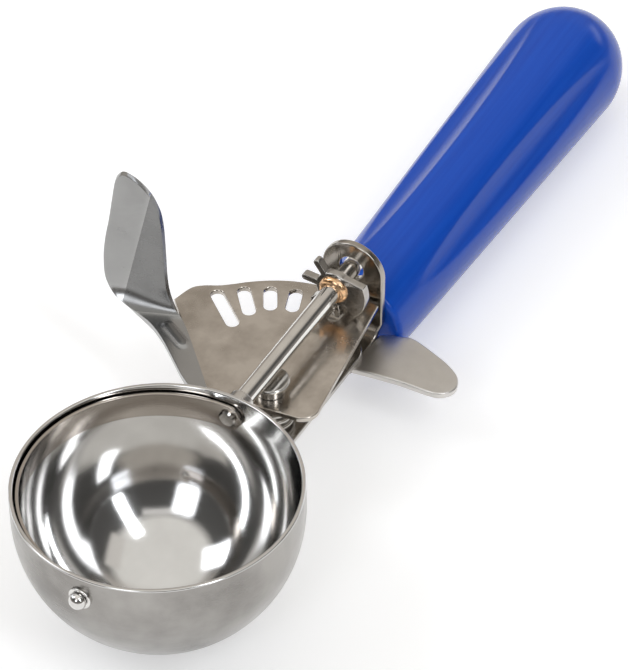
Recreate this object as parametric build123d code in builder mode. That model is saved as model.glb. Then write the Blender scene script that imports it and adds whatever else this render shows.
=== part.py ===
from build123d import *
import math
import os

os.makedirs("parts", exist_ok=True)

# Lever ice cream scoop. Millimetres. The origin is the centre of the bowl's rim,
# +Z points out of the bowl's mouth and +X runs along the shaft to the handle.

# ---- bowl
BOWL_DIA = 57.2          # outside diameter
BOWL_WALL = 0.9
BOWL_BAND = 5.9          # height of the straight band under the rim
AXIS_DROP = 5.0          # the shaft's axis lies this far below the rim
BOWL_R = BOWL_DIA / 2
BOWL_IN_R = BOWL_R - BOWL_WALL
BALL_Z = -BOWL_BAND      # centre of the bowl's half sphere
LIP_R = 0.25             # rounding of the rim's two corners
AXIS_Z = -AXIS_DROP

# ---- clearances
RUN_FIT = 0.08           # radial play of a turning fit
END_PLAY = 0.15          # axial play of a turning piece
SLIP = 0.03              # radial play of a fixed fit filled with braze

# ---- shaft line
SHAFT_R = 2.0
BUSH_R = 2.7
BUSH_LEN = 4.9
SPIGOT_R = 1.3
PIN_R = 1.05
PIN_HEAD_R = 1.8
PIN_HEAD_H = 2.0
RIVET_HEAD_R = 1.9
RIVET_HEAD_H = 0.65
WASHER_T = 0.5

# ---- scraper blade
BLADE_T = 0.7
BLADE_HALF_W = 3.0
BLADE_REST = 2.5         # degrees above the axis plane at rest
BLADE_CLEAR = 0.35

# ---- pivot, fan plate and pinion
PIVOT_X = 43.5
RATIO_SLOT = 10.2        # degrees of lever travel for one tooth
TOOTH_PITCH = 50.0       # degrees of shaft travel for one tooth
FAN_DROP = 6.5           # top of the fan plate below the shaft's axis
FAN_T = 1.2
FAN_R = 33.3
RIM_LAND = 2.4           # plate left between the slots and the fan's rim
SLOT_HALF_W = 1.4
SLOT_LEN = (6.9, 6.9, 6.9, 7.1, 8.7, 11.8)
SLOT_OUT_R = FAN_R - RIM_LAND
FAN_TOP = AXIS_Z - FAN_DROP
FAN_BOTTOM = FAN_TOP - FAN_T
MESH_IN = 6.1            # the pinion's middle lies this far inside the fan's rim
PINION_T = 1.8
PINION_X = PIVOT_X + FAN_R - MESH_IN - PINION_T / 2
PINION_R = 7.5
PINION_ROOT_R = 4.1
TOOTH_HALF_W = 0.75
TOOTH_REST = -89.0       # angle of the first tooth, from +Y towards +Z
TEETH = 4

# ---- strap and frame
STRAP_T = 1.2
STRAP_TOP = -19.6
STRAP_BOTTOM = STRAP_TOP - STRAP_T
STRAP_HALF_W = 6.8
FRAME_T = 1.6
BASE_TOP = STRAP_BOTTOM  # the strap lies on the frame's base
BASE_BOTTOM = BASE_TOP - FRAME_T
BASE_HALF_W = 6.3
TONGUE_HALF_W = 4.6      # the base is narrower where it reaches under the strap
EAR_GAP = 5.6            # between the pinion and the ear
EAR_X = PINION_X + PINION_T + EAR_GAP
EAR_R = 7.0              # rounded top
EAR_Y = -0.3             # centre of the rounded top
EAR_RISE = -0.6          # and its height above the shaft's axis
EAR_HOLE_R = 2.75
WING_TIP_Y = -26.8

# ---- handle
HANDLE_Z = -21.2
HANDLE_GAP = 0.5         # between the ear and the grip
HANDLE_X0 = EAR_X + FRAME_T + HANDLE_GAP
HANDLE_LEN = 109.7
HANDLE_END = HANDLE_X0 + HANDLE_LEN
HANDLE_R0 = 10.4
HANDLE_R1 = 13.6
TANG_W = 8.0
TANG_T = 2.6
TANG_X0 = EAR_X - 20.7
TANG_X1 = HANDLE_END - 29.0


# ================================================================ bowl
# Spun cup: a half sphere under a short straight band, with a flat rim whose
# corners are rounded.
with BuildPart() as bowl:
    with BuildSketch(Plane.XZ) as bowl_section:
        with BuildLine():
            CenterArc((0, BALL_Z), BOWL_R, -90, 90)
            Line((BOWL_R, BALL_Z), (BOWL_R, -LIP_R))
            CenterArc((BOWL_R - LIP_R, -LIP_R), LIP_R, 0, 90)
            Line((BOWL_R - LIP_R, 0), (BOWL_IN_R + LIP_R, 0))
            CenterArc((BOWL_IN_R + LIP_R, -LIP_R), LIP_R, 90, 90)
            Line((BOWL_IN_R, -LIP_R), (BOWL_IN_R, BALL_Z))
            CenterArc((0, BALL_Z), BOWL_IN_R, 0, -90)
            Line((0, BALL_Z - BOWL_IN_R), (0, BALL_Z - BOWL_R))
        make_face()
    revolve(axis=Axis.Z)
    with Locations(Location((BOWL_R, 0, AXIS_Z), (0, 90, 0))):
        Cylinder(BUSH_R + SLIP, 6, mode=Mode.SUBTRACT)
    with Locations(Location((-BOWL_R, 0, AXIS_Z), (0, 90, 0))):
        Cylinder(PIN_R + RUN_FIT, 6, mode=Mode.SUBTRACT)
bowl.part.label = "bowl"
export_step(bowl.part, "parts/bowl.step")

# The bowl's outer shape as a solid, used to cut the pieces that sit against it.
with BuildPart() as bowl_envelope:
    with BuildSketch(Plane.XZ):
        with BuildLine():
            CenterArc((0, BALL_Z), BOWL_R, -90, 90)
            Polyline((BOWL_R, BALL_Z), (BOWL_R, 6), (0, 6), (0, BALL_Z - BOWL_R))
        make_face()
    revolve(axis=Axis.Z)

# ================================================================ bowl bushing
# Tube brazed through the rear wall; the shaft turns in it.
BUSH_X0 = BOWL_IN_R
BUSH_X1 = BOWL_IN_R + BUSH_LEN
with BuildPart() as bowl_bushing:
    with Locations(Location(((BUSH_X0 + BUSH_X1) / 2, 0, AXIS_Z), (0, 90, 0))):
        Cylinder(BUSH_R, BUSH_LEN)
    bush_rim = bowl_bushing.edges().filter_by(GeomType.CIRCLE).sort_by(Axis.X)[-1]
    chamfer(bush_rim, 0.25)
    with Locations(Location(((BUSH_X0 + BUSH_X1) / 2, 0, AXIS_Z), (0, 90, 0))):
        Cylinder(SHAFT_R + RUN_FIT, BUSH_LEN + 2, mode=Mode.SUBTRACT)
bowl_bushing.part.label = "bowl_bushing"
export_step(bowl_bushing.part, "parts/bowl_bushing.step")

# Braze fillet round the bushing where it leaves the bowl.
FILLET_BUSH = 1.0
with BuildPart() as bushing_braze:
    with Locations(Location((BOWL_R - 0.3 + FILLET_BUSH / 2, 0, AXIS_Z), (0, 90, 0))):
        Cone(BUSH_R + FILLET_BUSH + 0.3, BUSH_R + 0.15, FILLET_BUSH + 0.6)
        Cylinder(BUSH_R, 6, mode=Mode.SUBTRACT)
    add(bowl_envelope.part, mode=Mode.SUBTRACT)
bushing_braze.part.label = "bushing_braze"
export_step(bushing_braze.part, "parts/bushing_braze.step")

# ================================================================ front washer
# Thick washer brazed to the outside of the bowl under the front pin's head.
FRONT_X = -(BOWL_R + WASHER_T)
with BuildPart() as front_washer:
    with Locations(Location((FRONT_X + 1.0, 0, AXIS_Z), (0, 90, 0))):
        Cylinder(PIN_HEAD_R + 0.6, 2.0)
        Cylinder(PIN_R + RUN_FIT, 4.0, mode=Mode.SUBTRACT)
    add(bowl_envelope.part, mode=Mode.SUBTRACT)
front_washer.part.label = "front_washer"
export_step(front_washer.part, "parts/front_washer.step")

# ================================================================ scraper blade
# Thin band bent to a half circle that lies against the inside of the bowl.
BLADE_RO = BOWL_IN_R - BLADE_CLEAR
BLADE_RI = BLADE_RO - BLADE_T
with BuildPart() as blade_flat:
    with Locations((0, BLADE_RO / 2, 0)):
        Box(2.2 * BLADE_RO, BLADE_RO, 2 * BLADE_HALF_W)
    with Locations(Location((0, 0, 0), (0, 90, 0))):
        Cylinder(BLADE_HALF_W, 2.2 * BLADE_RO)
    Sphere(BLADE_RO, mode=Mode.INTERSECT)
    Sphere(BLADE_RI, mode=Mode.SUBTRACT)
    with Locations(Location((BLADE_RO, 0, 0), (0, 90, 0))):
        Cylinder(SPIGOT_R + SLIP, 6, mode=Mode.SUBTRACT)
    with Locations(Location((-BLADE_RO, 0, 0), (0, 90, 0))):
        Cylinder(PIN_R + SLIP, 6, mode=Mode.SUBTRACT)
with BuildPart() as scraper_blade:
    with Locations(Location((0, 0, AXIS_Z), (BLADE_REST, 0, 0))):
        add(blade_flat.part)
scraper_blade.part.label = "scraper_blade"
export_step(scraper_blade.part, "parts/scraper_blade.step")

# ================================================================ front pin
# Pin through the front wall: domed head outside, small riveted head inside.
PIN_SEAT = FRONT_X - END_PLAY
PIN_DOME_H = PIN_HEAD_H - 0.45
PIN_DOME_R = (PIN_HEAD_R**2 + PIN_DOME_H**2) / (2 * PIN_DOME_H)
PIN_DOME_X = PIN_SEAT - PIN_HEAD_H + PIN_DOME_R
PIN_DOME_A = math.degrees(math.asin(PIN_HEAD_R / PIN_DOME_R))
BLADE_SEAT = math.sqrt(BLADE_RI**2 - RIVET_HEAD_R**2)
with BuildPart() as front_pin:
    with BuildSketch(Plane.XZ):
        with BuildLine():
            Polyline(
                (PIN_SEAT, AXIS_Z),
                (-BLADE_SEAT + RIVET_HEAD_H, AXIS_Z),
                (-BLADE_SEAT + RIVET_HEAD_H, AXIS_Z + RIVET_HEAD_R - 0.35),
                (-BLADE_SEAT + RIVET_HEAD_H - 0.3, AXIS_Z + RIVET_HEAD_R - 0.05),
                (-BLADE_SEAT, AXIS_Z + RIVET_HEAD_R - 0.05),
                (-BLADE_SEAT, AXIS_Z + PIN_R),
                (PIN_SEAT, AXIS_Z + PIN_R),
                (PIN_SEAT, AXIS_Z + PIN_HEAD_R),
                (PIN_SEAT - 0.45, AXIS_Z + PIN_HEAD_R),
            )
            CenterArc((PIN_DOME_X, AXIS_Z), PIN_DOME_R, 180 - PIN_DOME_A, PIN_DOME_A)
            Line((PIN_SEAT - PIN_HEAD_H, AXIS_Z), (PIN_SEAT, AXIS_Z))
        make_face()
    revolve(axis=Axis((0, 0, AXIS_Z), (1, 0, 0)))
front_pin.part.label = "front_pin"
export_step(front_pin.part, "parts/front_pin.step")

# ================================================================ drive shaft
# Polished rod: riveted through the blade, turning in the bushing, carrying the
# pinion, and running on through the hole in the frame's ear.
SHAFT_END = EAR_X + FRAME_T + 1.6
with BuildPart() as drive_shaft:
    with BuildSketch(Plane.XZ):
        with BuildLine():
            Polyline(
                (BLADE_SEAT - RIVET_HEAD_H, AXIS_Z),
                (BLADE_SEAT - RIVET_HEAD_H, AXIS_Z + RIVET_HEAD_R - 0.35),
                (BLADE_SEAT - RIVET_HEAD_H + 0.3, AXIS_Z + RIVET_HEAD_R - 0.05),
                (BLADE_SEAT, AXIS_Z + RIVET_HEAD_R - 0.05),
                (BLADE_SEAT, AXIS_Z + SPIGOT_R),
                (BLADE_RO, AXIS_Z + SPIGOT_R),
                (BLADE_RO, AXIS_Z + SHAFT_R),
                (SHAFT_END - 0.8, AXIS_Z + SHAFT_R),
                (SHAFT_END - 0.25, AXIS_Z + SHAFT_R - 0.45),
                (SHAFT_END, AXIS_Z + SHAFT_R - 1.2),
                (SHAFT_END, AXIS_Z),
                (BLADE_SEAT - RIVET_HEAD_H, AXIS_Z),
            )
        make_face()
    revolve(axis=Axis((0, 0, AXIS_Z), (1, 0, 0)))
drive_shaft.part.label = "drive_shaft"
export_step(drive_shaft.part, "parts/drive_shaft.step")

# ================================================================ pinion
# Stamped disc on the shaft. Four finger teeth stand on the side that rolls over
# the fan plate; the rest is a smooth rim with one flat.
PINION_PLANE = Plane(origin=(PINION_X, 0, AXIS_Z), x_dir=(0, 1, 0), z_dir=(1, 0, 0))
TOOTH_LEN = PINION_R - TOOTH_HALF_W
with BuildPart() as pinion:
    with BuildSketch(PINION_PLANE):
        Circle(PINION_ROOT_R)
        for k in range(TEETH):
            with Locations(Rot(0, 0, TOOTH_REST + k * TOOTH_PITCH)):
                with Locations((TOOTH_LEN / 2, 0)):
                    Rectangle(TOOTH_LEN, 2 * TOOTH_HALF_W)
                with Locations((TOOTH_LEN, 0)):
                    Circle(TOOTH_HALF_W)
        with BuildLine():
            RIM_A = math.radians(-126)
            RIM_B = math.radians(-202)
            RIM_M = (RIM_A + RIM_B) / 2
            RIM_R = PINION_R - 0.1
            ThreePointArc(
                (RIM_R * math.cos(RIM_A), RIM_R * math.sin(RIM_A)),
                (RIM_R * math.cos(RIM_M), RIM_R * math.sin(RIM_M)),
                (RIM_R * math.cos(RIM_B), RIM_R * math.sin(RIM_B)),
            )
            Polyline(
                (RIM_R * math.cos(RIM_B), RIM_R * math.sin(RIM_B)),
                (-2.2, 3.6),
                (0, 0),
                (RIM_R * math.cos(RIM_A), RIM_R * math.sin(RIM_A)),
            )
        make_face()
        Circle(SHAFT_R + SLIP, mode=Mode.SUBTRACT)
    extrude(amount=PINION_T)
pinion.part.label = "pinion"
export_step(pinion.part, "parts/pinion.step")

# ================================================================ braze rings
# A round bead of copper braze on each face of the pinion holds it to the shaft.
BEAD_H = 0.95
with BuildPart() as braze_front:
    with BuildSketch(Plane.XZ):
        with BuildLine():
            Line((PINION_X, AXIS_Z + SHAFT_R), (PINION_X, AXIS_Z + SHAFT_R + BEAD_H))
            CenterArc((PINION_X, AXIS_Z + SHAFT_R), BEAD_H, 90, 90)
            Line((PINION_X - BEAD_H, AXIS_Z + SHAFT_R), (PINION_X, AXIS_Z + SHAFT_R))
        make_face()
    revolve(axis=Axis((0, 0, AXIS_Z), (1, 0, 0)))
braze_front.part.label = "braze_front"
export_step(braze_front.part, "parts/braze_front.step")

BEAD_X = PINION_X + PINION_T
with BuildPart() as braze_rear:
    with BuildSketch(Plane.XZ):
        with BuildLine():
            Line((BEAD_X, AXIS_Z + SHAFT_R), (BEAD_X + BEAD_H, AXIS_Z + SHAFT_R))
            CenterArc((BEAD_X, AXIS_Z + SHAFT_R), BEAD_H, 0, 90)
            Line((BEAD_X, AXIS_Z + SHAFT_R + BEAD_H), (BEAD_X, AXIS_Z + SHAFT_R))
        make_face()
    revolve(axis=Axis((0, 0, AXIS_Z), (1, 0, 0)))
braze_rear.part.label = "braze_rear"
export_step(braze_rear.part, "parts/braze_rear.step")

# ================================================================ strap
# Flat bar brazed to the bowl. It carries the pivot, and its rounded end lies on
# the frame's base, where two rivets clamp it.
POST_R = 2.1
STAKE_R = 1.6
WIRE_R = 0.55
WIRE_BEND_R = WIRE_R + 0.03    # the wire is a little fuller where it turns
COIL_R = 4.2
COIL_TURNS = 3.125
SPRING_HOLE_R = WIRE_R + 0.2
RIVET_R = 1.6
BEND_R = 3.0             # inside the bend between the base and the ear
STRAP_END = EAR_X - BEND_R
RIVET_XS = (STRAP_END - 15.0, STRAP_END - 6.0)
with BuildPart() as bowl_strap:
    with BuildSketch(Plane.XY.offset(STRAP_BOTTOM)):
        with Locations((STRAP_END - STRAP_HALF_W, 0)):
            Circle(STRAP_HALF_W)
        with Locations(((STRAP_END - STRAP_HALF_W + BOWL_R / 2) / 2, 0)):
            Rectangle(STRAP_END - STRAP_HALF_W - BOWL_R / 2, 2 * STRAP_HALF_W)
        with Locations((PIVOT_X, 0)):
            Circle(STAKE_R + SLIP, mode=Mode.SUBTRACT)
        with Locations((PIVOT_X + COIL_R, 0)):
            Circle(SPRING_HOLE_R, mode=Mode.SUBTRACT)
        with Locations(*[(x, 0) for x in RIVET_XS]):
            Circle(RIVET_R + SLIP, mode=Mode.SUBTRACT)
    extrude(amount=STRAP_T)
    add(bowl_envelope.part, mode=Mode.SUBTRACT)
bowl_strap.part.label = "bowl_strap"
export_step(bowl_strap.part, "parts/bowl_strap.step")

# ================================================================ frame
# One stamping: a flat base under the strap, an ear bent up at the handle with the
# shaft's hole in it, and a finger rest curving out to the right.
EAR_CZ = AXIS_Z + EAR_RISE
EAR_TOP = EAR_CZ + EAR_R
EAR_BACK = EAR_X + FRAME_T
FRAME_X0 = TANG_X0 - 2.5
WING_X0 = EAR_X - 11.2
WING_X1 = EAR_BACK
WING_FLAT_Y = -10.0
WING_CURVE_R = 125.0
WING_BEND = math.radians(9)

# The finger rest, cut from a strip that curves gently down.
with BuildPart() as wing_strip:
    with BuildSketch(Plane(origin=(WING_X0 - 4, 0, 0), x_dir=(0, 1, 0), z_dir=(1, 0, 0))):
        with BuildLine():
            WING_CZ = BASE_TOP - WING_CURVE_R
            WING_IN_R = WING_CURVE_R - FRAME_T
            Line((-4, BASE_TOP), (WING_FLAT_Y, BASE_TOP))
            CenterArc((WING_FLAT_Y, WING_CZ), WING_CURVE_R, 90, math.degrees(WING_BEND))
            Line(
                (
                    WING_FLAT_Y - WING_CURVE_R * math.sin(WING_BEND),
                    WING_CZ + WING_CURVE_R * math.cos(WING_BEND),
                ),
                (
                    WING_FLAT_Y - WING_IN_R * math.sin(WING_BEND),
                    WING_CZ + WING_IN_R * math.cos(WING_BEND),
                ),
            )
            CenterArc((WING_FLAT_Y, WING_CZ), WING_IN_R, 90, math.degrees(WING_BEND))
            Polyline((WING_FLAT_Y, BASE_BOTTOM), (-4, BASE_BOTTOM), (-4, BASE_TOP))
        make_face()
    extrude(amount=WING_X1 - WING_X0 + 8)
    with BuildSketch(Plane.XY.offset(BASE_BOTTOM - 12)):
        with BuildLine():
            Polyline(
                (WING_X0 - 2, -4),
                (WING_X0 - 0.2, -BASE_HALF_W),
                (WING_X0 + 1.1, WING_TIP_Y + 10.0),
            )
            Spline(
                (WING_X0 + 1.1, WING_TIP_Y + 10.0),
                (WING_X0 + 1.8, WING_TIP_Y + 3.6),
                (WING_X0 + 2.9, WING_TIP_Y + 1.5),
                (WING_X0 + 6.0, WING_TIP_Y),
                (WING_X0 + 9.6, WING_TIP_Y + 1.2),
                (WING_X0 + 11.7, WING_TIP_Y + 4.0),
                (WING_X0 + 13.1, WING_TIP_Y + 7.2),
                (WING_X0 + 13.8, WING_TIP_Y + 13.4),
                (WING_X1 - 0.6, -8.6),
            )
            Polyline(
                (WING_X1 - 0.6, -8.6),
                (WING_X1 - 1.2, -BASE_HALF_W),
                (WING_X1 - BEND_R - FRAME_T, -BASE_HALF_W),
                (WING_X1 - BEND_R - FRAME_T, -4),
                (WING_X0 - 2, -4),
            )
        make_face()
    extrude(amount=20, mode=Mode.INTERSECT)

with BuildPart() as frame:
    with BuildSketch(Plane.XZ):
        with BuildLine():
            Polyline(
                (EAR_BACK, BASE_BOTTOM + BEND_R + FRAME_T),
                (EAR_BACK, EAR_TOP),
                (EAR_X, EAR_TOP),
                (EAR_X, BASE_TOP + BEND_R),
            )
            CenterArc((EAR_X - BEND_R, BASE_TOP + BEND_R), BEND_R, -90, 90)
            Polyline(
                (EAR_X - BEND_R, BASE_TOP),
                (FRAME_X0, BASE_TOP),
                (FRAME_X0, BASE_BOTTOM),
                (EAR_X - BEND_R, BASE_BOTTOM),
            )
            CenterArc((EAR_X - BEND_R, BASE_TOP + BEND_R), BEND_R + FRAME_T, -90, 90)
        make_face()
    extrude(amount=2 * EAR_R, both=True)
    with BuildSketch(Plane(origin=(FRAME_X0 - 5, 0, 0), x_dir=(0, 1, 0), z_dir=(1, 0, 0))):
        with Locations((EAR_Y, EAR_CZ)):
            Circle(EAR_R)
        Polygon(
            (EAR_Y + EAR_R, EAR_CZ),
            (EAR_Y - EAR_R, EAR_CZ),
            (EAR_Y - EAR_R + 0.3, BASE_TOP + BEND_R),
            (-BASE_HALF_W, BASE_TOP + BEND_R / 2),
            (-BASE_HALF_W, BASE_BOTTOM - 1),
            (BASE_HALF_W, BASE_BOTTOM - 1),
            (BASE_HALF_W, BASE_TOP + BEND_R / 2),
            align=None,
        )
    extrude(amount=EAR_BACK, mode=Mode.INTERSECT)
    with BuildSketch(Plane.XY.offset(BASE_BOTTOM - 1)):
        for side in (1, -1):
            Polygon(
                (FRAME_X0 - 1, side * TONGUE_HALF_W),
                (WING_X0 - 4, side * TONGUE_HALF_W),
                (WING_X0, side * (BASE_HALF_W + 0.1)),
                (WING_X0, side * 2 * BASE_HALF_W),
                (FRAME_X0 - 1, side * 2 * BASE_HALF_W),
                align=None,
            )
    extrude(amount=FRAME_T + 2, mode=Mode.SUBTRACT)
    add(wing_strip.part)
    with Locations(Location((EAR_X, 0, AXIS_Z), (0, 90, 0))):
        Cylinder(EAR_HOLE_R, 4 * FRAME_T, mode=Mode.SUBTRACT)
    with Locations(*[(x, 0, BASE_BOTTOM) for x in RIVET_XS]):
        Cylinder(RIVET_R + SLIP, 4 * FRAME_T, mode=Mode.SUBTRACT)
frame.part.label = "frame"
export_step(frame.part, "parts/frame.step")

# Braze bead round the end of the strap where it meets the bowl.
STRAP_BEAD = 0.9
with BuildPart() as strap_braze:
    with Locations((BOWL_R - 3, 0, (STRAP_TOP + STRAP_BOTTOM) / 2)):
        Box(10, 2 * (STRAP_HALF_W + 1.6), STRAP_T + 2 * STRAP_BEAD)
    with Locations((0, 0, BALL_Z)):
        Sphere(BOWL_R + STRAP_BEAD, mode=Mode.INTERSECT)
    add(bowl_envelope.part, mode=Mode.SUBTRACT)
    add(bowl_strap.part, mode=Mode.SUBTRACT)
strap_braze.part.label = "strap_braze"
export_step(strap_braze.part, "parts/strap_braze.step")

# ================================================================ pivot post
# Headed post staked into the strap. Its shoulder keeps the lever down.
HEAD_R = 4.0
HEAD_T = 0.8
SHOULDER_R = 2.9
HEAD_TOP = AXIS_Z - SHAFT_R - 1.2
with BuildPart() as pivot_post:
    with BuildSketch(Plane.XZ):
        Polygon(
            (PIVOT_X, HEAD_TOP),
            (PIVOT_X + HEAD_R - 0.3, HEAD_TOP),
            (PIVOT_X + HEAD_R, HEAD_TOP - 0.3),
            (PIVOT_X + HEAD_R, HEAD_TOP - HEAD_T),
            (PIVOT_X + SHOULDER_R, HEAD_TOP - HEAD_T),
            (PIVOT_X + SHOULDER_R, FAN_TOP + END_PLAY),
            (PIVOT_X + POST_R, FAN_TOP + END_PLAY),
            (PIVOT_X + POST_R, STRAP_TOP),
            (PIVOT_X + STAKE_R, STRAP_TOP),
            (PIVOT_X + STAKE_R, STRAP_BOTTOM),
            (PIVOT_X + STAKE_R + 0.8, STRAP_BOTTOM),
            (PIVOT_X + STAKE_R + 0.4, STRAP_BOTTOM - 0.7),
            (PIVOT_X, STRAP_BOTTOM - 0.7),
            align=None,
        )
    revolve(axis=Axis((PIVOT_X, 0, 0), (0, 0, 1)))
pivot_post.part.label = "pivot_post"
export_step(pivot_post.part, "parts/pivot_post.step")

# ================================================================ thumb lever
# One stamping: a slotted fan plate that drives the pinion, an arm along its left
# edge, and a paddle bent up from the arm for the thumb.
FOLD_A = math.radians(63.4)
FOLD_X = PIVOT_X + (FAN_R + 0.15) * math.cos(FOLD_A)
FOLD_Y = (FAN_R + 0.15) * math.sin(FOLD_A)
HUB_R = 5.2
TONGUE_R = 3.6
TONGUE_Y = -7.8
PAD_DIR = (-0.354, 0.935)
PAD_T = 1.3
PAD_W = 14.6
PAD_TOP = 21.2
PAD_PLANE = Plane(
    origin=(FOLD_X, FOLD_Y, 0),
    x_dir=(PAD_DIR[0], PAD_DIR[1], 0),
    z_dir=(PAD_DIR[1], -PAD_DIR[0], 0),
)
with BuildPart() as thumb_lever:
    with BuildSketch(Plane.XY.offset(FAN_BOTTOM)):
        with BuildLine():
            FAN_A = math.radians(-12)
            FAN_B = math.radians(43)
            FAN_M = (FAN_A + FAN_B) / 2
            ThreePointArc(
                (PIVOT_X + FAN_R * math.cos(FAN_A), FAN_R * math.sin(FAN_A)),
                (PIVOT_X + FAN_R * math.cos(FAN_M), FAN_R * math.sin(FAN_M)),
                (PIVOT_X + FAN_R * math.cos(FAN_B), FAN_R * math.sin(FAN_B)),
            )
            Spline(
                (PIVOT_X + FAN_R * math.cos(FAN_B), FAN_R * math.sin(FAN_B)),
                (PIVOT_X + (FAN_R + 1.2) * math.cos(math.radians(49.5)),
                 (FAN_R + 1.2) * math.sin(math.radians(49.5))),
                (PIVOT_X + (FAN_R + 2.3) * math.cos(math.radians(55.5)),
                 (FAN_R + 2.3) * math.sin(math.radians(55.5))),
                (FOLD_X + 0.9, FOLD_Y + 0.2),
                tangents=((-math.sin(FAN_B), math.cos(FAN_B)), (-0.9, -0.5)),
            )
            Polyline(
                (FOLD_X + 0.9, FOLD_Y + 0.2),
                (PIVOT_X - 0.168 * FAN_R, 0.312 * FAN_R),
                (PIVOT_X - HUB_R, 0),
                (PIVOT_X - 0.8 + 0.14 * TONGUE_R, TONGUE_Y - 0.99 * TONGUE_R),
                (PIVOT_X + FAN_R * math.cos(FAN_A), FAN_R * math.sin(FAN_A)),
            )
        make_face()
        with Locations((PIVOT_X, 0)):
            Circle(HUB_R)
        with Locations((PIVOT_X - 0.8, TONGUE_Y)):
            Circle(TONGUE_R)
        with BuildLine():
            Polyline(
                (FOLD_X + 0.9, FOLD_Y + 0.2),
                (FOLD_X + 0.973 * PAD_W * PAD_DIR[0], FOLD_Y + 0.973 * PAD_W * PAD_DIR[1]),
                (FOLD_X + 0.973 * PAD_W * PAD_DIR[0] - 1.6, FOLD_Y + 0.973 * PAD_W * PAD_DIR[1] - 2.4),
            )
            Spline(
                (FOLD_X + 0.973 * PAD_W * PAD_DIR[0] - 1.6, FOLD_Y + 0.973 * PAD_W * PAD_DIR[1] - 2.4),
                (PIVOT_X + 0.078 * FAN_R, 0.820 * FAN_R),
                (PIVOT_X - 0.003 * FAN_R, 0.688 * FAN_R),
                (PIVOT_X - 0.192 * FAN_R, 0.471 * FAN_R),
                (PIVOT_X - 0.222 * FAN_R, 0.378 * FAN_R),
            )
            Polyline(
                (PIVOT_X - 0.222 * FAN_R, 0.378 * FAN_R),
                (PIVOT_X - 0.168 * FAN_R, 0.312 * FAN_R),
                (FOLD_X + 0.9, FOLD_Y + 0.2),
            )
        make_face()
        with Locations((PIVOT_X, 0)):
            Circle(POST_R + RUN_FIT, mode=Mode.SUBTRACT)
            for k, slot_len in enumerate(SLOT_LEN):
                with Locations(Rot(0, 0, (TOOTH_REST + 90) * RATIO_SLOT / TOOTH_PITCH + k * RATIO_SLOT)):
                    with Locations((SLOT_OUT_R - slot_len / 2, 0)):
                        SlotOverall(slot_len, 2 * SLOT_HALF_W, mode=Mode.SUBTRACT)
            with Locations(Rot(0, 0, 360 * COIL_TURNS)):
                with Locations((COIL_R, 0)):
                    Circle(SPRING_HOLE_R, mode=Mode.SUBTRACT)
        with Locations(Location((PIVOT_X - 2.0, -4.3, 0), (0, 0, 23))):
            SlotOverall(6.0, 0.7, mode=Mode.SUBTRACT)
    extrude(amount=FAN_T)
    with BuildSketch(PAD_PLANE):
        with BuildLine():
            Line((0.096 * PAD_W, FAN_BOTTOM), (0.151 * PAD_W, FAN_TOP + 8))
            Spline(
                (0.151 * PAD_W, FAN_TOP + 8),
                (0.192 * PAD_W, 0.505 * PAD_TOP),
                (0.329 * PAD_W, 0.792 * PAD_TOP),
                (0.562 * PAD_W, 0.972 * PAD_TOP),
                (0.678 * PAD_W, PAD_TOP),
                (0.781 * PAD_W, 0.915 * PAD_TOP),
                (0.856 * PAD_W, 0.642 * PAD_TOP),
                (0.959 * PAD_W, 0.255 * PAD_TOP),
                (PAD_W, -0.132 * PAD_TOP),
                (0.973 * PAD_W, FAN_BOTTOM),
            )
            Line((0.973 * PAD_W, FAN_BOTTOM), (0.096 * PAD_W, FAN_BOTTOM))
        make_face()
    extrude(amount=-PAD_T)
thumb_lever.part.label = "thumb_lever"
export_step(thumb_lever.part, "parts/thumb_lever.step")

# ================================================================ washers
# A thin washer under the lever and another on the strap, both inside the coil.
WASHER_R = COIL_R - WIRE_R - 0.25
LEVER_WASHER_T = 0.5
with BuildPart() as lever_washer:
    with Locations((PIVOT_X, 0, FAN_BOTTOM - LEVER_WASHER_T / 2)):
        Cylinder(WASHER_R, LEVER_WASHER_T)
        Cylinder(POST_R + RUN_FIT, 2, mode=Mode.SUBTRACT)
lever_washer.part.label = "lever_washer"
export_step(lever_washer.part, "parts/lever_washer.step")

BASE_WASHER_T = 0.6
with BuildPart() as base_washer:
    with Locations((PIVOT_X, 0, STRAP_TOP + BASE_WASHER_T / 2)):
        Cylinder(WASHER_R, BASE_WASHER_T)
        Cylinder(POST_R + RUN_FIT, 2, mode=Mode.SUBTRACT)
base_washer.part.label = "base_washer"
export_step(base_washer.part, "parts/base_washer.step")

# ================================================================ return spring
# Torsion spring round the post. Its lower end turns down into the strap's hole and
# its upper end turns up into the lever's.
COIL_Z0 = STRAP_TOP + WIRE_BEND_R + 0.15
COIL_Z1 = FAN_BOTTOM - WIRE_BEND_R - 0.15
COIL_PITCH = (COIL_Z1 - COIL_Z0) / COIL_TURNS
COIL_END_X = PIVOT_X + COIL_R * math.cos(math.radians(360 * COIL_TURNS))
COIL_END_Y = COIL_R * math.sin(math.radians(360 * COIL_TURNS))
with BuildPart() as return_spring:
    with BuildLine() as coil_path:
        Helix(COIL_PITCH, COIL_Z1 - COIL_Z0, COIL_R, center=(PIVOT_X, 0, COIL_Z0))
    with BuildSketch(Plane(origin=coil_path.line @ 0, z_dir=coil_path.line % 0)):
        RegularPolygon(WIRE_R, 12)
    sweep(is_frenet=True)
    with Locations((PIVOT_X + COIL_R, 0, (COIL_Z0 + WIRE_BEND_R + STRAP_BOTTOM) / 2)):
        Cylinder(WIRE_BEND_R, COIL_Z0 + WIRE_BEND_R - STRAP_BOTTOM)
    with Locations((COIL_END_X, COIL_END_Y, (COIL_Z1 - WIRE_BEND_R + FAN_TOP) / 2)):
        Cylinder(WIRE_BEND_R, FAN_TOP - COIL_Z1 + WIRE_BEND_R)
return_spring.part.label = "return_spring"
export_step(return_spring.part, "parts/return_spring.step")

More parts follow.
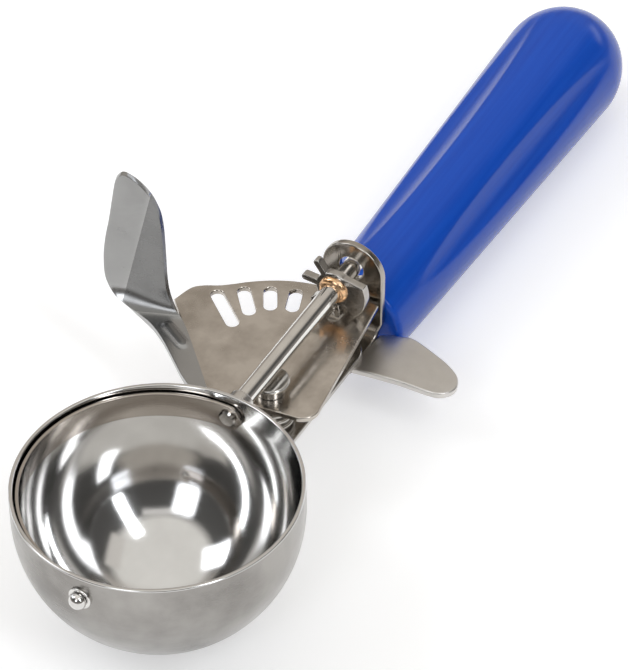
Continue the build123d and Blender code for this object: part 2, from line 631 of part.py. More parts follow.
# ================================================================ handle tang
# Flat bar riveted under the frame's base and buried in the grip.
TANG_TOP = BASE_BOTTOM
with BuildPart() as handle_tang:
    with BuildSketch(Plane.XY.offset(TANG_TOP - TANG_T)):
        with Locations(((TANG_X0 + TANG_X1) / 2, 0)):
            Rectangle(TANG_X1 - TANG_X0, TANG_W)
    extrude(amount=TANG_T)
    tang_ends = handle_tang.edges().filter_by(Axis.Z)
    fillet(tang_ends, 2.5)
    with Locations(*[(x, 0, TANG_TOP) for x in RIVET_XS]):
        Cylinder(RIVET_R + SLIP, 8, mode=Mode.SUBTRACT)
handle_tang.part.label = "handle_tang"
export_step(handle_tang.part, "parts/handle_tang.step")

# Two rivets clamp the strap, the frame and the tang.
RIVET_HEAD_T = 0.8
with BuildPart() as tang_rivets:
    with Locations(*[(x, 0, 0) for x in RIVET_XS]):
        with Locations((0, 0, (STRAP_TOP + TANG_TOP - TANG_T) / 2)):
            Cylinder(RIVET_R, STRAP_TOP - TANG_TOP + TANG_T)
        with Locations((0, 0, STRAP_TOP + RIVET_HEAD_T / 2)):
            Cylinder(RIVET_R + 1.2, RIVET_HEAD_T)
        with Locations((0, 0, TANG_TOP - TANG_T - RIVET_HEAD_T / 2)):
            Cylinder(RIVET_R + 1.2, RIVET_HEAD_T)
tang_rivets.part.label = "tang_rivets"
export_step(tang_rivets.part, "parts/tang_rivets.step")

# ================================================================ handle grip
# Moulded grip that swells towards a domed end, with four shallow flutes along it.
FLUTES = 4
FLUTE_TURN = -30.0       # degrees of the first flute from the top
FLUTE_R = 14.0
FLUTE_DEPTH = 1.0
HANDLE_DOME = 15.0
FLUTE_X0 = HANDLE_X0 + 11.0
FLUTE_X1 = HANDLE_END - HANDLE_DOME + 1.0
SHOULDER_X = HANDLE_END - HANDLE_DOME
HANDLE_SLOPE = (HANDLE_R1 - HANDLE_R0) / (SHOULDER_X - HANDLE_X0)
FLUTE_LEN = FLUTE_X1 - FLUTE_X0
FLUTE_MID = (FLUTE_X0 + FLUTE_X1) / 2
FLUTE_RISE = HANDLE_R0 + HANDLE_SLOPE * (FLUTE_MID - HANDLE_X0) - FLUTE_DEPTH
FLUTE_BEND = FLUTE_LEN**2 / (8 * FLUTE_DEPTH)      # so that each flute runs out at its ends
# The cutter is a short piece of a large ring that bows towards the grip.
with BuildPart() as flute:
    with BuildSketch(Plane(origin=(FLUTE_MID, 0, HANDLE_Z + FLUTE_RISE), x_dir=(0, 1, 0), z_dir=(1, 0, HANDLE_SLOPE))):
        with Locations((0, FLUTE_R)):
            Circle(FLUTE_R)
    ring = Axis(
        (FLUTE_MID - HANDLE_SLOPE * FLUTE_BEND, 0, HANDLE_Z + FLUTE_RISE + FLUTE_BEND),
        (0, 1, 0),
    )
    revolve(axis=ring, revolution_arc=math.degrees(1.1 * FLUTE_LEN / FLUTE_BEND))
FLUTE_HALF = math.degrees(0.55 * FLUTE_LEN / FLUTE_BEND)
centred_flute = flute.part.rotate(ring, -FLUTE_HALF)
with BuildPart() as handle_grip:
    with BuildSketch(Plane.XZ):
        with BuildLine():
            Polyline(
                (HANDLE_X0, HANDLE_Z),
                (HANDLE_X0, HANDLE_Z + HANDLE_R0 - 1.0),
                (HANDLE_X0 + 1.0, HANDLE_Z + HANDLE_R0),
                (SHOULDER_X, HANDLE_Z + HANDLE_R1),
            )
            Spline(
                (SHOULDER_X, HANDLE_Z + HANDLE_R1),
                (SHOULDER_X + HANDLE_DOME * 0.72, HANDLE_Z + HANDLE_R1 * 0.68),
                (HANDLE_END, HANDLE_Z),
                tangents=((1, 0.02), (0, -1)),
            )
            Line((HANDLE_END, HANDLE_Z), (HANDLE_X0, HANDLE_Z))
        make_face()
    revolve(axis=Axis((0, 0, HANDLE_Z), (1, 0, 0)))
    for k in range(FLUTES):
        turn = FLUTE_TURN + k * 360 / FLUTES
        add(centred_flute.rotate(Axis((0, 0, HANDLE_Z), (1, 0, 0)), turn), mode=Mode.SUBTRACT)
    with Locations(((TANG_X1 + HANDLE_X0 - 2) / 2, 0, TANG_TOP - TANG_T / 2)):
        Box(
            TANG_X1 - HANDLE_X0 + 2.6,
            TANG_W + 0.1,
            TANG_T + 0.1,
            mode=Mode.SUBTRACT,
        )
handle_grip.part.label = "handle_grip"
export_step(handle_grip.part, "parts/handle_grip.step")
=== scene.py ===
import math

import bmesh
import bpy
from mathutils import Euler, Matrix, Vector


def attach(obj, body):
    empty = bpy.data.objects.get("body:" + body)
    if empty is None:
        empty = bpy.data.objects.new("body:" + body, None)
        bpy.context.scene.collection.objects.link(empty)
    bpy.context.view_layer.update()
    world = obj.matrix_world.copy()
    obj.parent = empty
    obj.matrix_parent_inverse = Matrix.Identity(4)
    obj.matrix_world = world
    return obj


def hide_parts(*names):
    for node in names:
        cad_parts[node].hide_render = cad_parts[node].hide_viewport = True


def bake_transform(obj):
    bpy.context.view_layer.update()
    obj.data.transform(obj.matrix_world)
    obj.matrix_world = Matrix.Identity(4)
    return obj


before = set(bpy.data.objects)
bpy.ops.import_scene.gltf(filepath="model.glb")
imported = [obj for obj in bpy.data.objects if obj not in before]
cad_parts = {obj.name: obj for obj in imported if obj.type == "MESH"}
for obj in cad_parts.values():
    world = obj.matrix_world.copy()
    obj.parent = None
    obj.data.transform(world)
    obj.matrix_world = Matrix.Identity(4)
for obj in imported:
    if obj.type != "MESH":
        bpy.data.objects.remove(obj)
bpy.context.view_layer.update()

# ---------------------------------------------------------------- camera
# A long lens held above the front left of the bowl, looking back along the grip.
camera = bpy.data.objects.new("camera", bpy.data.cameras.new("camera"))
bpy.context.scene.collection.objects.link(camera)
camera.data.lens = 214.93
camera.data.sensor_width = 36.0
camera.data.clip_start = 0.05
camera.matrix_world = Matrix.LocRotScale(
    (-0.45928, -0.30026, 0.53602), Euler([math.radians(a) for a in (47.7008, 0.9853, -60.9293)]), None)
bpy.context.scene.camera = camera

# ---------------------------------------------------------------- bowl
# Cup spun from stainless sheet: mirror polished inside, brushed round the
# outside, with a flat rim. Holes in two walls take the bushing and the pin.
MM = 0.001
AXIS_Z = -5.0 * MM
RIM_R = 28.6 * MM
CUP_R = 27.7 * MM
BALL_Z = -5.9 * MM
LIP = 0.3 * MM
BUSH_HOLE_R = 2.73 * MM
PIN_HOLE_R = 1.13 * MM
DRILL_LEN = 6 * MM
POLE_R = 0.0001 * MM
POLISH_Z = -0.8 * MM
GRAIN_DEPTH = 0.02 * MM


def arc(centre, radius, start, end, steps):
    """Points of an arc, angles in degrees from the first axis."""
    return [(centre[0] + radius * math.cos(math.radians(start + (end - start) * i / steps)),
             centre[1] + radius * math.sin(math.radians(start + (end - start) * i / steps)))
            for i in range(steps + 1)]


def linked(name, mesh):
    """A new piece in the scene that holds this mesh."""
    piece = bpy.data.objects.new(name, mesh)
    bpy.context.scene.collection.objects.link(piece)
    return piece


def meshed(name, bm):
    """Turns loose bmesh work into a mesh whose faces point outwards."""
    bmesh.ops.recalc_face_normals(bm, faces=bm.faces)
    mesh = bpy.data.meshes.new(name)
    bm.to_mesh(mesh)
    bm.free()
    return mesh


def finished(piece):
    """Applies a piece's modifiers to its mesh."""
    graph = bpy.context.evaluated_depsgraph_get()
    mesh = bpy.data.meshes.new_from_object(piece.evaluated_get(graph))
    piece.modifiers.clear()
    piece.data = mesh


def smoothed(piece, sharp=None):
    """Smooth shading in which the large faces keep their own direction."""
    piece.data.shade_smooth()
    if sharp is not None:
        piece.data.set_sharp_from_angle(angle=math.radians(sharp))
    weigh = piece.modifiers.new("weigh", "WEIGHTED_NORMAL")
    weigh.keep_sharp = sharp is not None
    finished(piece)
    return piece


def turned(name, profile, origin, axis, steps=96, sharp=40):
    """A lathe piece: profile points (along, out) turned about an axis through origin."""
    along = Vector(axis).normalized()
    side = along.orthogonal().normalized()
    other = along.cross(side)
    bm = bmesh.new()
    rings = []
    for a, r in profile:
        middle = Vector(origin) + along * a
        count = 1 if r < POLE_R else steps
        rings.append([bm.verts.new(middle + side * r * math.cos(2 * math.pi * i / steps)
                                   + other * r * math.sin(2 * math.pi * i / steps))
                      for i in range(count)])
    for one, two in zip(rings, rings[1:] + rings[:1]):
        for i in range(steps):
            j = (i + 1) % steps
            corners = [one[i % len(one)], two[i % len(two)], two[j % len(two)], one[j % len(one)]]
            corners = [v for k, v in enumerate(corners) if v not in corners[:k]]
            if len(corners) > 2:
                bm.faces.new(corners)
    return smoothed(linked(name, meshed(name, bm)), sharp)


def bored(piece, radius, centre):
    """Cuts a round hole along X through a piece's wall."""
    bm = bmesh.new()
    bmesh.ops.create_cone(bm, cap_ends=True, segments=48, radius1=radius, radius2=radius, depth=DRILL_LEN,
                          matrix=Matrix.Translation(centre) @ Matrix.Rotation(math.radians(90), 4, "Y"))
    drill = linked("drill", meshed("drill", bm))
    cut = piece.modifiers.new("hole", "BOOLEAN")
    cut.operation = "DIFFERENCE"
    cut.object = drill
    cut.solver = "EXACT"
    finished(piece)
    bpy.data.objects.remove(drill)


def fed(tree, node, inputs):
    """Links a node's inputs to other nodes' outputs, or sets them to plain values."""
    for key, value in inputs.items():
        if isinstance(value, bpy.types.NodeSocket):
            tree.links.new(value, node.inputs[key])
        else:
            node.inputs[key].default_value = value
    return node


def added(tree, kind, inputs=None, **settings):
    """A new node of this kind in the tree, with its settings and its inputs."""
    node = tree.nodes.new(kind)
    for key, value in settings.items():
        setattr(node, key, value)
    return fed(tree, node, inputs or {})


def declared(tree, inputs, outputs):
    """Gives a node group its named inputs and outputs."""
    for way, sockets in (("INPUT", inputs), ("OUTPUT", outputs)):
        for name, kind in sockets:
            tree.interface.new_socket(name, in_out=way, socket_type="NodeSocket" + kind)


def grain_group():
    """Fine lines and cloudy wear for metal, from Object coordinates stretched per axis."""
    group = bpy.data.node_groups.new("metal_grain", "ShaderNodeTree")
    declared(group,
             (("Lines", "Vector"), ("Colour", "Color"), ("Dark", "Color"), ("Cloud Size", "Float"),
              ("Cloud Amount", "Float"), ("Smooth", "Float"), ("Rough", "Float"), ("Line Height", "Float")),
             (("Color", "Color"), ("Roughness", "Float"), ("Height", "Float")))
    given = added(group, "NodeGroupInput").outputs
    place = added(group, "ShaderNodeTexCoord").outputs["Object"]
    stretch = added(group, "ShaderNodeVectorMath", {0: place, 1: given["Lines"]}, operation="MULTIPLY")
    lines = added(group, "ShaderNodeTexNoise", {
        "Vector": stretch.outputs[0], "Scale": 1, "Detail": 4, "Roughness": 0.6}).outputs["Fac"]
    cloud = added(group, "ShaderNodeTexNoise", {
        "Vector": place, "Scale": given["Cloud Size"], "Detail": 6, "Roughness": 0.55}).outputs["Fac"]
    steep = added(group, "ShaderNodeMapRange", {"Value": cloud, "From Min": 0.38, "From Max": 0.68})
    share = added(group, "ShaderNodeMath", {0: steep.outputs["Result"], 1: given["Cloud Amount"]},
                  operation="MULTIPLY").outputs[0]
    tint = added(group, "ShaderNodeMix", {"Factor": share, "A": given["Colour"], "B": given["Dark"]},
                 data_type="RGBA")
    both = added(group, "ShaderNodeMath", {0: lines, 1: 0.7, 2: share}, operation="MULTIPLY_ADD")
    gloss = added(group, "ShaderNodeMapRange", {
        "Value": both.outputs[0], "From Min": 0.2, "From Max": 1.0, "To Min": given["Smooth"],
        "To Max": given["Rough"]})
    height = added(group, "ShaderNodeMath", {0: lines, 1: given["Line Height"]}, operation="MULTIPLY")
    added(group, "NodeGroupOutput", {
        "Color": tint.outputs["Result"], "Roughness": gloss.outputs["Result"], "Height": height.outputs[0]})
    return group


metal_grain = grain_group()


def metal(name, colour, dark, lines, smooth, rough, cloud_size=120, cloud_amount=0.5, line_height=0.5):
    """A steel or copper finish: colour and roughness from the grain, lines as bump."""
    material = bpy.data.materials.new(name)
    material.use_nodes = True
    tree = material.node_tree
    grain = added(tree, "ShaderNodeGroup", {
        "Lines": lines, "Colour": (*colour, 1), "Dark": (*dark, 1), "Cloud Size": cloud_size,
        "Cloud Amount": cloud_amount, "Smooth": smooth, "Rough": rough, "Line Height": line_height},
        node_tree=metal_grain)
    bump = added(tree, "ShaderNodeBump", {
        "Strength": 1, "Distance": GRAIN_DEPTH, "Height": grain.outputs["Height"]})
    fed(tree, tree.nodes["Principled BSDF"], {
        "Metallic": 1, "Base Color": grain.outputs["Color"], "Roughness": grain.outputs["Roughness"],
        "Normal": bump.outputs["Normal"]})
    return material


def painted(piece, material):
    """Gives a piece this finish alone."""
    piece.data.materials.clear()
    piece.data.materials.append(material)


def dressed(piece, material, body, slot, *nodes):
    """Gives a piece its finish and the body it moves with, and hides the nodes it stands for; slot is not used."""
    painted(piece, material)
    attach(piece, body)
    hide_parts(*nodes)


polished = metal("bowl_polish", (0.72, 0.715, 0.705), (0.56, 0.55, 0.54), (200, 200, 3000), 0.06, 0.15,
                 cloud_size=90, cloud_amount=0.35, line_height=0.15)
brushed = metal("bowl_brushing", (0.4, 0.385, 0.365), (0.17, 0.16, 0.15), (8, 8, 1500), 0.14, 0.3,
                cloud_size=45, cloud_amount=0.75, line_height=1.4)
cup = turned(
    "bowl_cup",
    arc((BALL_Z, 0), RIM_R, 180, 90, 64)
    + arc((-LIP, RIM_R - LIP), LIP, 90, 0, 6)
    + arc((-LIP, CUP_R + LIP), LIP, 0, -90, 6)
    + arc((BALL_Z, 0), CUP_R, 90, 180, 64),
    (0, 0, 0), (0, 0, 1), 192)
bored(cup, BUSH_HOLE_R, (RIM_R, 0, AXIS_Z))
bored(cup, PIN_HOLE_R, (-RIM_R, 0, AXIS_Z))
dressed(cup, brushed, "base", "bowl_steel", "bowl")
cup.data.materials.append(polished)
for face in cup.data.polygons:
    middle = face.center
    inward = face.normal.dot(middle - Vector((0, 0, min(middle.z, BALL_Z)))) < 0
    face.material_index = 1 if inward or middle.z > POLISH_Z else 0

# ---------------------------------------------------------------- bushing
# Short steel tube brazed through the rear wall, the shaft's front bearing. Its
# braze shows as a thin fillet where the tube leaves the bowl.
BUSH_R = BUSH_HOLE_R - 0.03 * MM
BUSH_END = 32.6 * MM
BUSH_EDGE = 0.35 * MM
SHAFT_R = 2.0 * MM
BUSH_BORE_R = SHAFT_R + 0.08 * MM
SHAFT_LINE = (0, 0, AXIS_Z)
X_AXIS = (1, 0, 0)

tube_steel = metal("bushing_satin", (0.66, 0.64, 0.61), (0.52, 0.49, 0.46), (400, 2500, 2500), 0.2, 0.32,
                   cloud_size=300, line_height=0.4)
bushing = turned(
    "bushing",
    [(CUP_R, BUSH_R), (BUSH_END - BUSH_EDGE, BUSH_R),
     *arc((BUSH_END - BUSH_EDGE, BUSH_R - BUSH_EDGE), BUSH_EDGE, 80, 0, 5),
     (BUSH_END, BUSH_BORE_R), (CUP_R, BUSH_BORE_R)],
    SHAFT_LINE, X_AXIS)
dressed(bushing, tube_steel, "base", "bushing_steel", "bowl_bushing")
painted(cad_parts["bushing_braze"], tube_steel)

# ---------------------------------------------------------------- front pin
# Headed pin that the blade's front end is riveted to. It turns in a hole in the
# front wall, with a thick washer brazed round it outside.
BOSS_X0 = -28.3 * MM
BOSS_X1 = -29.1 * MM
BOSS_R = 2.4 * MM
BOSS_EDGE = 0.2 * MM
PIN_R = PIN_HOLE_R - 0.08 * MM
BOSS_BORE_R = PIN_R + 0.1 * MM
PIN_SEAT = -29.25 * MM
RIVET_TAIL = (26.2 * MM, 26.93 * MM)
RIVET_TAIL_R = 1.85 * MM
RIVET_TAIL_EDGE = 0.3 * MM

pin_steel = metal("pin_polish", (0.74, 0.73, 0.71), (0.5, 0.48, 0.46), (1500, 1500, 1500), 0.06, 0.2,
                  cloud_size=500)
boss = turned(
    "front_boss",
    [(BOSS_X0, BOSS_R), (BOSS_X1 + BOSS_EDGE, BOSS_R),
     *arc((BOSS_X1 + BOSS_EDGE, BOSS_R - BOSS_EDGE), BOSS_EDGE, 90, 180, 4),
     (BOSS_X1, BOSS_BORE_R), (BOSS_X0, BOSS_BORE_R)],
    SHAFT_LINE, X_AXIS)
dressed(boss, pin_steel, "base", "pin_steel", "front_washer")
pin = turned(
    "pin",
    [(-RIVET_TAIL[0], 0), (-RIVET_TAIL[0], 1.4 * MM), (-RIVET_TAIL[0] - RIVET_TAIL_EDGE, RIVET_TAIL_R),
     (-RIVET_TAIL[1], RIVET_TAIL_R), (-RIVET_TAIL[1] - 0.02 * MM, PIN_R), (PIN_SEAT, PIN_R)]
    + [(PIN_SEAT - out * MM, radius * MM) for out, radius in (
        (0, 1.7), (0.12, 1.8), (0.5, 1.8), (1.1, 1.62), (1.6, 1.2), (1.9, 0.65), (2.0, 0))],
    SHAFT_LINE, X_AXIS, 48)
dressed(pin, pin_steel, "shaft", "pin_steel", "front_pin")

# ---------------------------------------------------------------- scraper blade
# Thin spring-steel band bent to a half circle. It lies against the inside of the
# bowl under the rim and sweeps the ball loose as the shaft turns.
BLADE_R = 27.25 * MM
BLADE_T = 0.65 * MM
BLADE_HALF_W = 3.0 * MM
BLADE_TIP_HALF_W = 0.2 * MM
BLADE_EDGE = 0.15 * MM
BLADE_REST = math.radians(2.5)
BLADE_START = -6.2
BLADE_SWEEP = 192.4
BLADE_STEPS = 100
BLADE_COLUMNS = 4


def sheet(name, rows, thickness, rounding):
    """A sheet-metal piece: rows of points on its middle surface, thickened, with rounded edges."""
    bm = bmesh.new()
    grid = [[bm.verts.new(p) for p in row] for row in rows]
    for one, two in zip(grid, grid[1:]):
        for i in range(len(one) - 1):
            bm.faces.new((one[i], one[i + 1], two[i + 1], two[i]))
    piece = linked(name, meshed(name, bm))
    thicken = piece.modifiers.new("thicken", "SOLIDIFY")
    thicken.thickness = thickness
    thicken.offset = 0
    ease = piece.modifiers.new("ease", "BEVEL")
    ease.width = rounding
    ease.segments = 3
    ease.limit_method = "ANGLE"
    ease.angle_limit = math.radians(50)
    finished(piece)
    return smoothed(piece)


def blade_point(turn, across):
    """A point of the band: turn along the half circle, across from -1 to 1 over its width."""
    below = min(0, BLADE_R * math.sin(turn))
    half = math.sqrt(max(BLADE_HALF_W**2 - below**2, BLADE_TIP_HALF_W**2))
    ring = math.sqrt(BLADE_R**2 - (half * across)**2)
    flat = Vector((ring * math.cos(turn), ring * math.sin(turn), half * across))
    return Matrix.Rotation(BLADE_REST, 3, "X") @ flat + Vector((0, 0, AXIS_Z))


blade_steel = metal("blade_polish", (0.5, 0.46, 0.42), (0.34, 0.3, 0.27), (400, 400, 2000), 0.1, 0.2,
                    cloud_size=80, line_height=0.3)
blade = sheet(
    "blade",
    [[blade_point(math.radians(BLADE_START + BLADE_SWEEP * i / BLADE_STEPS), k / BLADE_COLUMNS)
      for k in range(-BLADE_COLUMNS, BLADE_COLUMNS + 1)]
     for i in range(BLADE_STEPS + 1)],
    BLADE_T, BLADE_EDGE)
dressed(blade, blade_steel, "shaft", "blade_steel", "scraper_blade")

# ---------------------------------------------------------------- drive shaft
# Polished rod from the blade, through the bushing and the pinion, to the hole in
# the frame's ear. Its front is turned down and riveted in the blade.
SHAFT_NECK_R = 1.3 * MM
SHAFT_SHOULDER = 27.6 * MM
SHAFT_END = 80.4 * MM

rod_steel = metal("shaft_polish", (0.82, 0.8, 0.77), (0.6, 0.58, 0.56), (250, 3500, 3500), 0.1, 0.2,
                  cloud_size=250, cloud_amount=0.35, line_height=0.25)
shaft = turned(
    "shaft",
    [(RIVET_TAIL[0], 0), (RIVET_TAIL[0], 1.5 * MM), (RIVET_TAIL[0] + RIVET_TAIL_EDGE, RIVET_TAIL_R),
     (RIVET_TAIL[1], RIVET_TAIL_R), (RIVET_TAIL[1] + 0.02 * MM, SHAFT_NECK_R), (SHAFT_SHOULDER, SHAFT_NECK_R),
     (SHAFT_SHOULDER + 0.05 * MM, SHAFT_R)]
    + [(SHAFT_END - back * MM, SHAFT_R - less * MM) for back, less in (
        (0.8, 0), (0.25, 0.45), (0.05, 0.9), (0, 1.3))]
    + [(SHAFT_END, 0)],
    SHAFT_LINE, X_AXIS)
dressed(shaft, rod_steel, "shaft", "shaft_steel", "drive_shaft")

# ---------------------------------------------------------------- pinion
# Disc stamped from plate: four finger teeth that the fan plate's slots push, and a
# smooth rim with one flat. A copper bead on each face brazes it to the shaft.
PINION_X = 69.8 * MM
PINION_T = 1.8 * MM
PINION_EDGE = 0.22 * MM
PINION_ROOT = 4.1 * MM
PINION_R = 7.5 * MM
PINION_RIM_R = PINION_R - 0.1 * MM
PINION_STEPS = 540
TOOTH_COUNT = 4
TOOTH_HALF_W = 0.75 * MM
TOOTH_REST = -95
TOOTH_PITCH = 50
RIM_START = math.radians(158)
RIM_STOP = math.radians(234)
FLAT_END = Vector((-2.2 * MM, 3.6 * MM))
BEAD_ROOT = SHAFT_R - 0.1 * MM
BEAD_LEN = 1.15 * MM
BEAD_HEIGHT = 1.2 * MM


def plate(name, outline, holes, thickness, rounding):
    """A flat stamping about the XY plane: outline less holes, given its thickness and rounded edges."""
    curve = bpy.data.curves.new(name, "CURVE")
    curve.dimensions = "2D"
    curve.fill_mode = "BOTH"
    curve.extrude = thickness / 2 - rounding
    curve.bevel_depth = rounding
    curve.bevel_resolution = 2
    curve.offset = -rounding
    for k, loop in enumerate((outline, *holes)):
        area = sum(a[0] * b[1] - b[0] * a[1] for a, b in zip(loop, loop[1:] + loop[:1]))
        if (area > 0) == (k > 0):
            loop = loop[::-1]
        line = curve.splines.new("POLY")
        line.points.add(len(loop) - 1)
        for point, (x, y) in zip(line.points, loop):
            point.co = (x, y, 0, 1)
        line.use_cyclic_u = True
    piece = linked(name, curve)
    graph = bpy.context.evaluated_depsgraph_get()
    mesh = bpy.data.meshes.new_from_object(piece.evaluated_get(graph))
    bpy.data.objects.remove(piece)
    bm = bmesh.new()
    bm.from_mesh(mesh)
    bmesh.ops.remove_doubles(bm, verts=bm.verts, dist=0.001 * MM)
    bmesh.ops.recalc_face_normals(bm, faces=bm.faces)
    bm.to_mesh(mesh)
    bm.free()
    return linked(name, mesh)


def pinion_reach(turn):
    """How far the disc's edge lies from its centre at this angle."""
    reach = PINION_ROOT
    tip = PINION_R - TOOTH_HALF_W
    for k in range(TOOTH_COUNT):
        off = abs((turn - math.radians(TOOTH_REST + k * TOOTH_PITCH) + math.pi) % (2 * math.pi) - math.pi)
        if off > math.radians(TOOTH_PITCH):
            continue
        if tip * math.sin(off) <= TOOTH_HALF_W:
            reach = max(reach, tip * math.cos(off) + math.sqrt(TOOTH_HALF_W**2 - (tip * math.sin(off))**2))
        else:
            reach = max(reach, TOOTH_HALF_W / math.sin(off))
    if RIM_START <= turn <= RIM_STOP:
        reach = max(reach, PINION_RIM_R)
    start = Vector((PINION_RIM_R * math.cos(RIM_START), PINION_RIM_R * math.sin(RIM_START)))
    if math.atan2(FLAT_END.y, FLAT_END.x) < turn < RIM_START:
        ray = Vector((math.cos(turn), math.sin(turn)))
        flat = FLAT_END - start
        reach = max(reach, (start.x * FLAT_END.y - start.y * FLAT_END.x) / (ray.x * flat.y - ray.y * flat.x))
    return reach


stamped = metal("pinion_polish", (0.56, 0.54, 0.51), (0.32, 0.3, 0.28), (1200, 1200, 1200), 0.08, 0.2,
                cloud_size=260, cloud_amount=0.6)
turns = [2 * math.pi * i / PINION_STEPS for i in range(PINION_STEPS)]
disc = plate(
    "toothed_disc",
    [(pinion_reach(turn) * math.cos(turn), pinion_reach(turn) * math.sin(turn)) for turn in turns],
    [arc((0, 0), SHAFT_R, 360, 0, 48)[:-1]], PINION_T, PINION_EDGE)
disc.data.transform(Matrix(((0, 0, 1, PINION_X + PINION_T / 2), (1, 0, 0, 0), (0, 1, 0, AXIS_Z), (0, 0, 0, 1))))
smoothed(disc)
dressed(disc, stamped, "shaft", "pinion_steel", "pinion")

copper = metal("braze_copper", (0.86, 0.52, 0.27), (0.62, 0.44, 0.3), (1200, 1200, 1200), 0.14, 0.3,
               cloud_size=420, cloud_amount=0.8, line_height=1.0)
for name, face, way, node in (("front_bead", PINION_X, -1, "braze_front"),
                              ("rear_bead", PINION_X + PINION_T, 1, "braze_rear")):
    crown = [(face + way * BEAD_LEN * math.cos(math.radians(a)), SHAFT_R + BEAD_HEIGHT * math.sin(math.radians(a)))
             for a in range(90, -1, -10)]
    bead = turned(name, [(face, BEAD_ROOT), *crown, (face + way * BEAD_LEN, BEAD_ROOT)], SHAFT_LINE, X_AXIS)
    dressed(bead, copper, "shaft", "pinion_copper", node)

# ---------------------------------------------------------------- bowl strap
# Flat bar brazed to the back of the bowl. It carries the pivot, and its rounded
# end lies on the frame's base between the rivets' heads and the base.
STRAP_T = 1.2 * MM
STRAP_TOP = -19.6 * MM
STRAP_HALF_W = 6.8 * MM
STRAP_END = 74.2 * MM
STRAP_EDGE = 0.25 * MM
BOWL_SIDE = 25.2 * MM
PIVOT_X = 43.5 * MM
COIL_R = 4.2 * MM
HOOK_HOLE_R = 0.75 * MM

strap_steel = metal("strap_satin", (0.6, 0.58, 0.55), (0.42, 0.39, 0.36), (900, 900, 900), 0.14, 0.3,
                    cloud_size=110, line_height=0.4)
half_angle = math.degrees(math.asin(STRAP_HALF_W / BOWL_SIDE))
strap = plate(
    "strap",
    arc((STRAP_END - STRAP_HALF_W, 0), STRAP_HALF_W, -90, 90, 32)
    + arc((0, 0), BOWL_SIDE, half_angle, -half_angle, 12),
    [arc((PIVOT_X + COIL_R, 0), HOOK_HOLE_R, 0, 360, 20)[:-1]], STRAP_T, STRAP_EDGE)
strap.data.transform(Matrix.Translation((0, 0, STRAP_TOP - STRAP_T / 2)))
smoothed(strap)
dressed(strap, strap_steel, "base", "strap_steel", "bowl_strap")
painted(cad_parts["strap_braze"], strap_steel)

# ---------------------------------------------------------------- frame
# One stamping: a base under the strap, an ear bent up at the grip with the shaft's
# rear hole in it, and a finger rest that curves out and a little down.
FRAME_T = 1.6 * MM
BASE_TOP = STRAP_TOP - STRAP_T
BASE_X0 = 54.0 * MM
BASE_HALF_W = 6.3 * MM
NECK_X = 62.0 * MM
NECK_HALF_W = 4.6 * MM
FOOT_X = 78.0 * MM
BEND_X = 74.2 * MM
BEND_INNER_R = 3.0 * MM
BEND_R = BEND_INNER_R + FRAME_T / 2
BEND_LEN = BEND_R * math.pi / 2
BEND_Z = BASE_TOP + BEND_INNER_R
BEND_STEPS = 14
FRAME_EDGE = 0.35 * MM
EAR_R = 7.0 * MM
EAR_Y = -0.3 * MM
EAR_Z = -5.6 * MM
EAR_HOLE = 2.75 * MM
REST_X = 66.0 * MM
REST_X0 = 65.8 * MM
REST_X1 = 73.6 * MM
REST_ROOT_Y = -5.2 * MM
REST_EDGE = 0.4 * MM
REST_BEND_R = 125 * MM
REST_FLAT_Y = -10 * MM
REST_STEP = 1.2 * MM
REST_CUTS = 15
REST_Z = BASE_TOP - FRAME_T / 2 - 0.01 * MM


def smooth_path(keys, steps):
    """Points on a smooth curve that passes through the keys."""
    points = []
    for i in range(len(keys) - 1):
        a, b, c, d = (Vector(keys[max(i - 1, 0)]), Vector(keys[i]), Vector(keys[i + 1]),
                      Vector(keys[min(i + 2, len(keys) - 1)]))
        for k in range(steps):
            t = k / steps
            points.append(0.5 * (2 * b + (c - a) * t + (2 * a - 5 * b + 4 * c - d) * t * t
                                 + (3 * b - a - 3 * c + d) * t**3))
    return points + [Vector(keys[-1])]


def scored(piece, places, facing):
    """Cuts a sheet across along planes through these places, all facing one way."""
    bm = bmesh.new()
    bm.from_mesh(piece.data)
    for place in places:
        bmesh.ops.bisect_plane(bm, geom=bm.verts[:] + bm.edges[:] + bm.faces[:],
                               plane_co=place, plane_no=facing, dist=1e-7)
    bm.to_mesh(piece.data)
    bm.free()


frame_steel = metal("frame_polish", (0.47, 0.44, 0.4), (0.26, 0.24, 0.21), (900, 900, 900), 0.1, 0.24,
                    cloud_size=130)
rest_steel = metal("finger_rest_satin", (0.68, 0.66, 0.63), (0.52, 0.49, 0.46), (700, 1400, 700), 0.3, 0.42,
                   cloud_size=140, cloud_amount=0.4, line_height=0.6)
ear_start = BEND_X + BEND_LEN
ear_zero = ear_start - BEND_Z
ear = plate(
    "base_and_ear",
    [(BASE_X0, -NECK_HALF_W), (NECK_X, -NECK_HALF_W), (REST_X, -BASE_HALF_W), (FOOT_X, -BASE_HALF_W),
     (ear_start, EAR_Y - EAR_R + 0.3 * MM)]
    + arc((ear_zero + EAR_Z, EAR_Y), EAR_R, -90, 90, 40)
    + [(FOOT_X, BASE_HALF_W), (REST_X, BASE_HALF_W), (NECK_X, NECK_HALF_W), (BASE_X0, NECK_HALF_W)],
    [arc((ear_zero + AXIS_Z, 0), EAR_HOLE, 360, 0, 48)[:-1]], FRAME_T, FRAME_EDGE)
scored(ear, [(BEND_X + BEND_LEN * i / BEND_STEPS, 0, 0) for i in range(BEND_STEPS + 1)], X_AXIS)
for vertex in ear.data.vertices:
    x, y, z = vertex.co
    if x <= BEND_X:
        vertex.co = (x, y, BASE_TOP - FRAME_T / 2 + z)
    else:
        turn = min((x - BEND_X) / BEND_R, math.pi / 2)
        rise = max(x - ear_start, 0)
        vertex.co = (BEND_X + (BEND_R - z) * math.sin(turn), y, BEND_Z - (BEND_R - z) * math.cos(turn) + rise)
smoothed(ear)
dressed(ear, frame_steel, "base", "frame_steel", "frame")

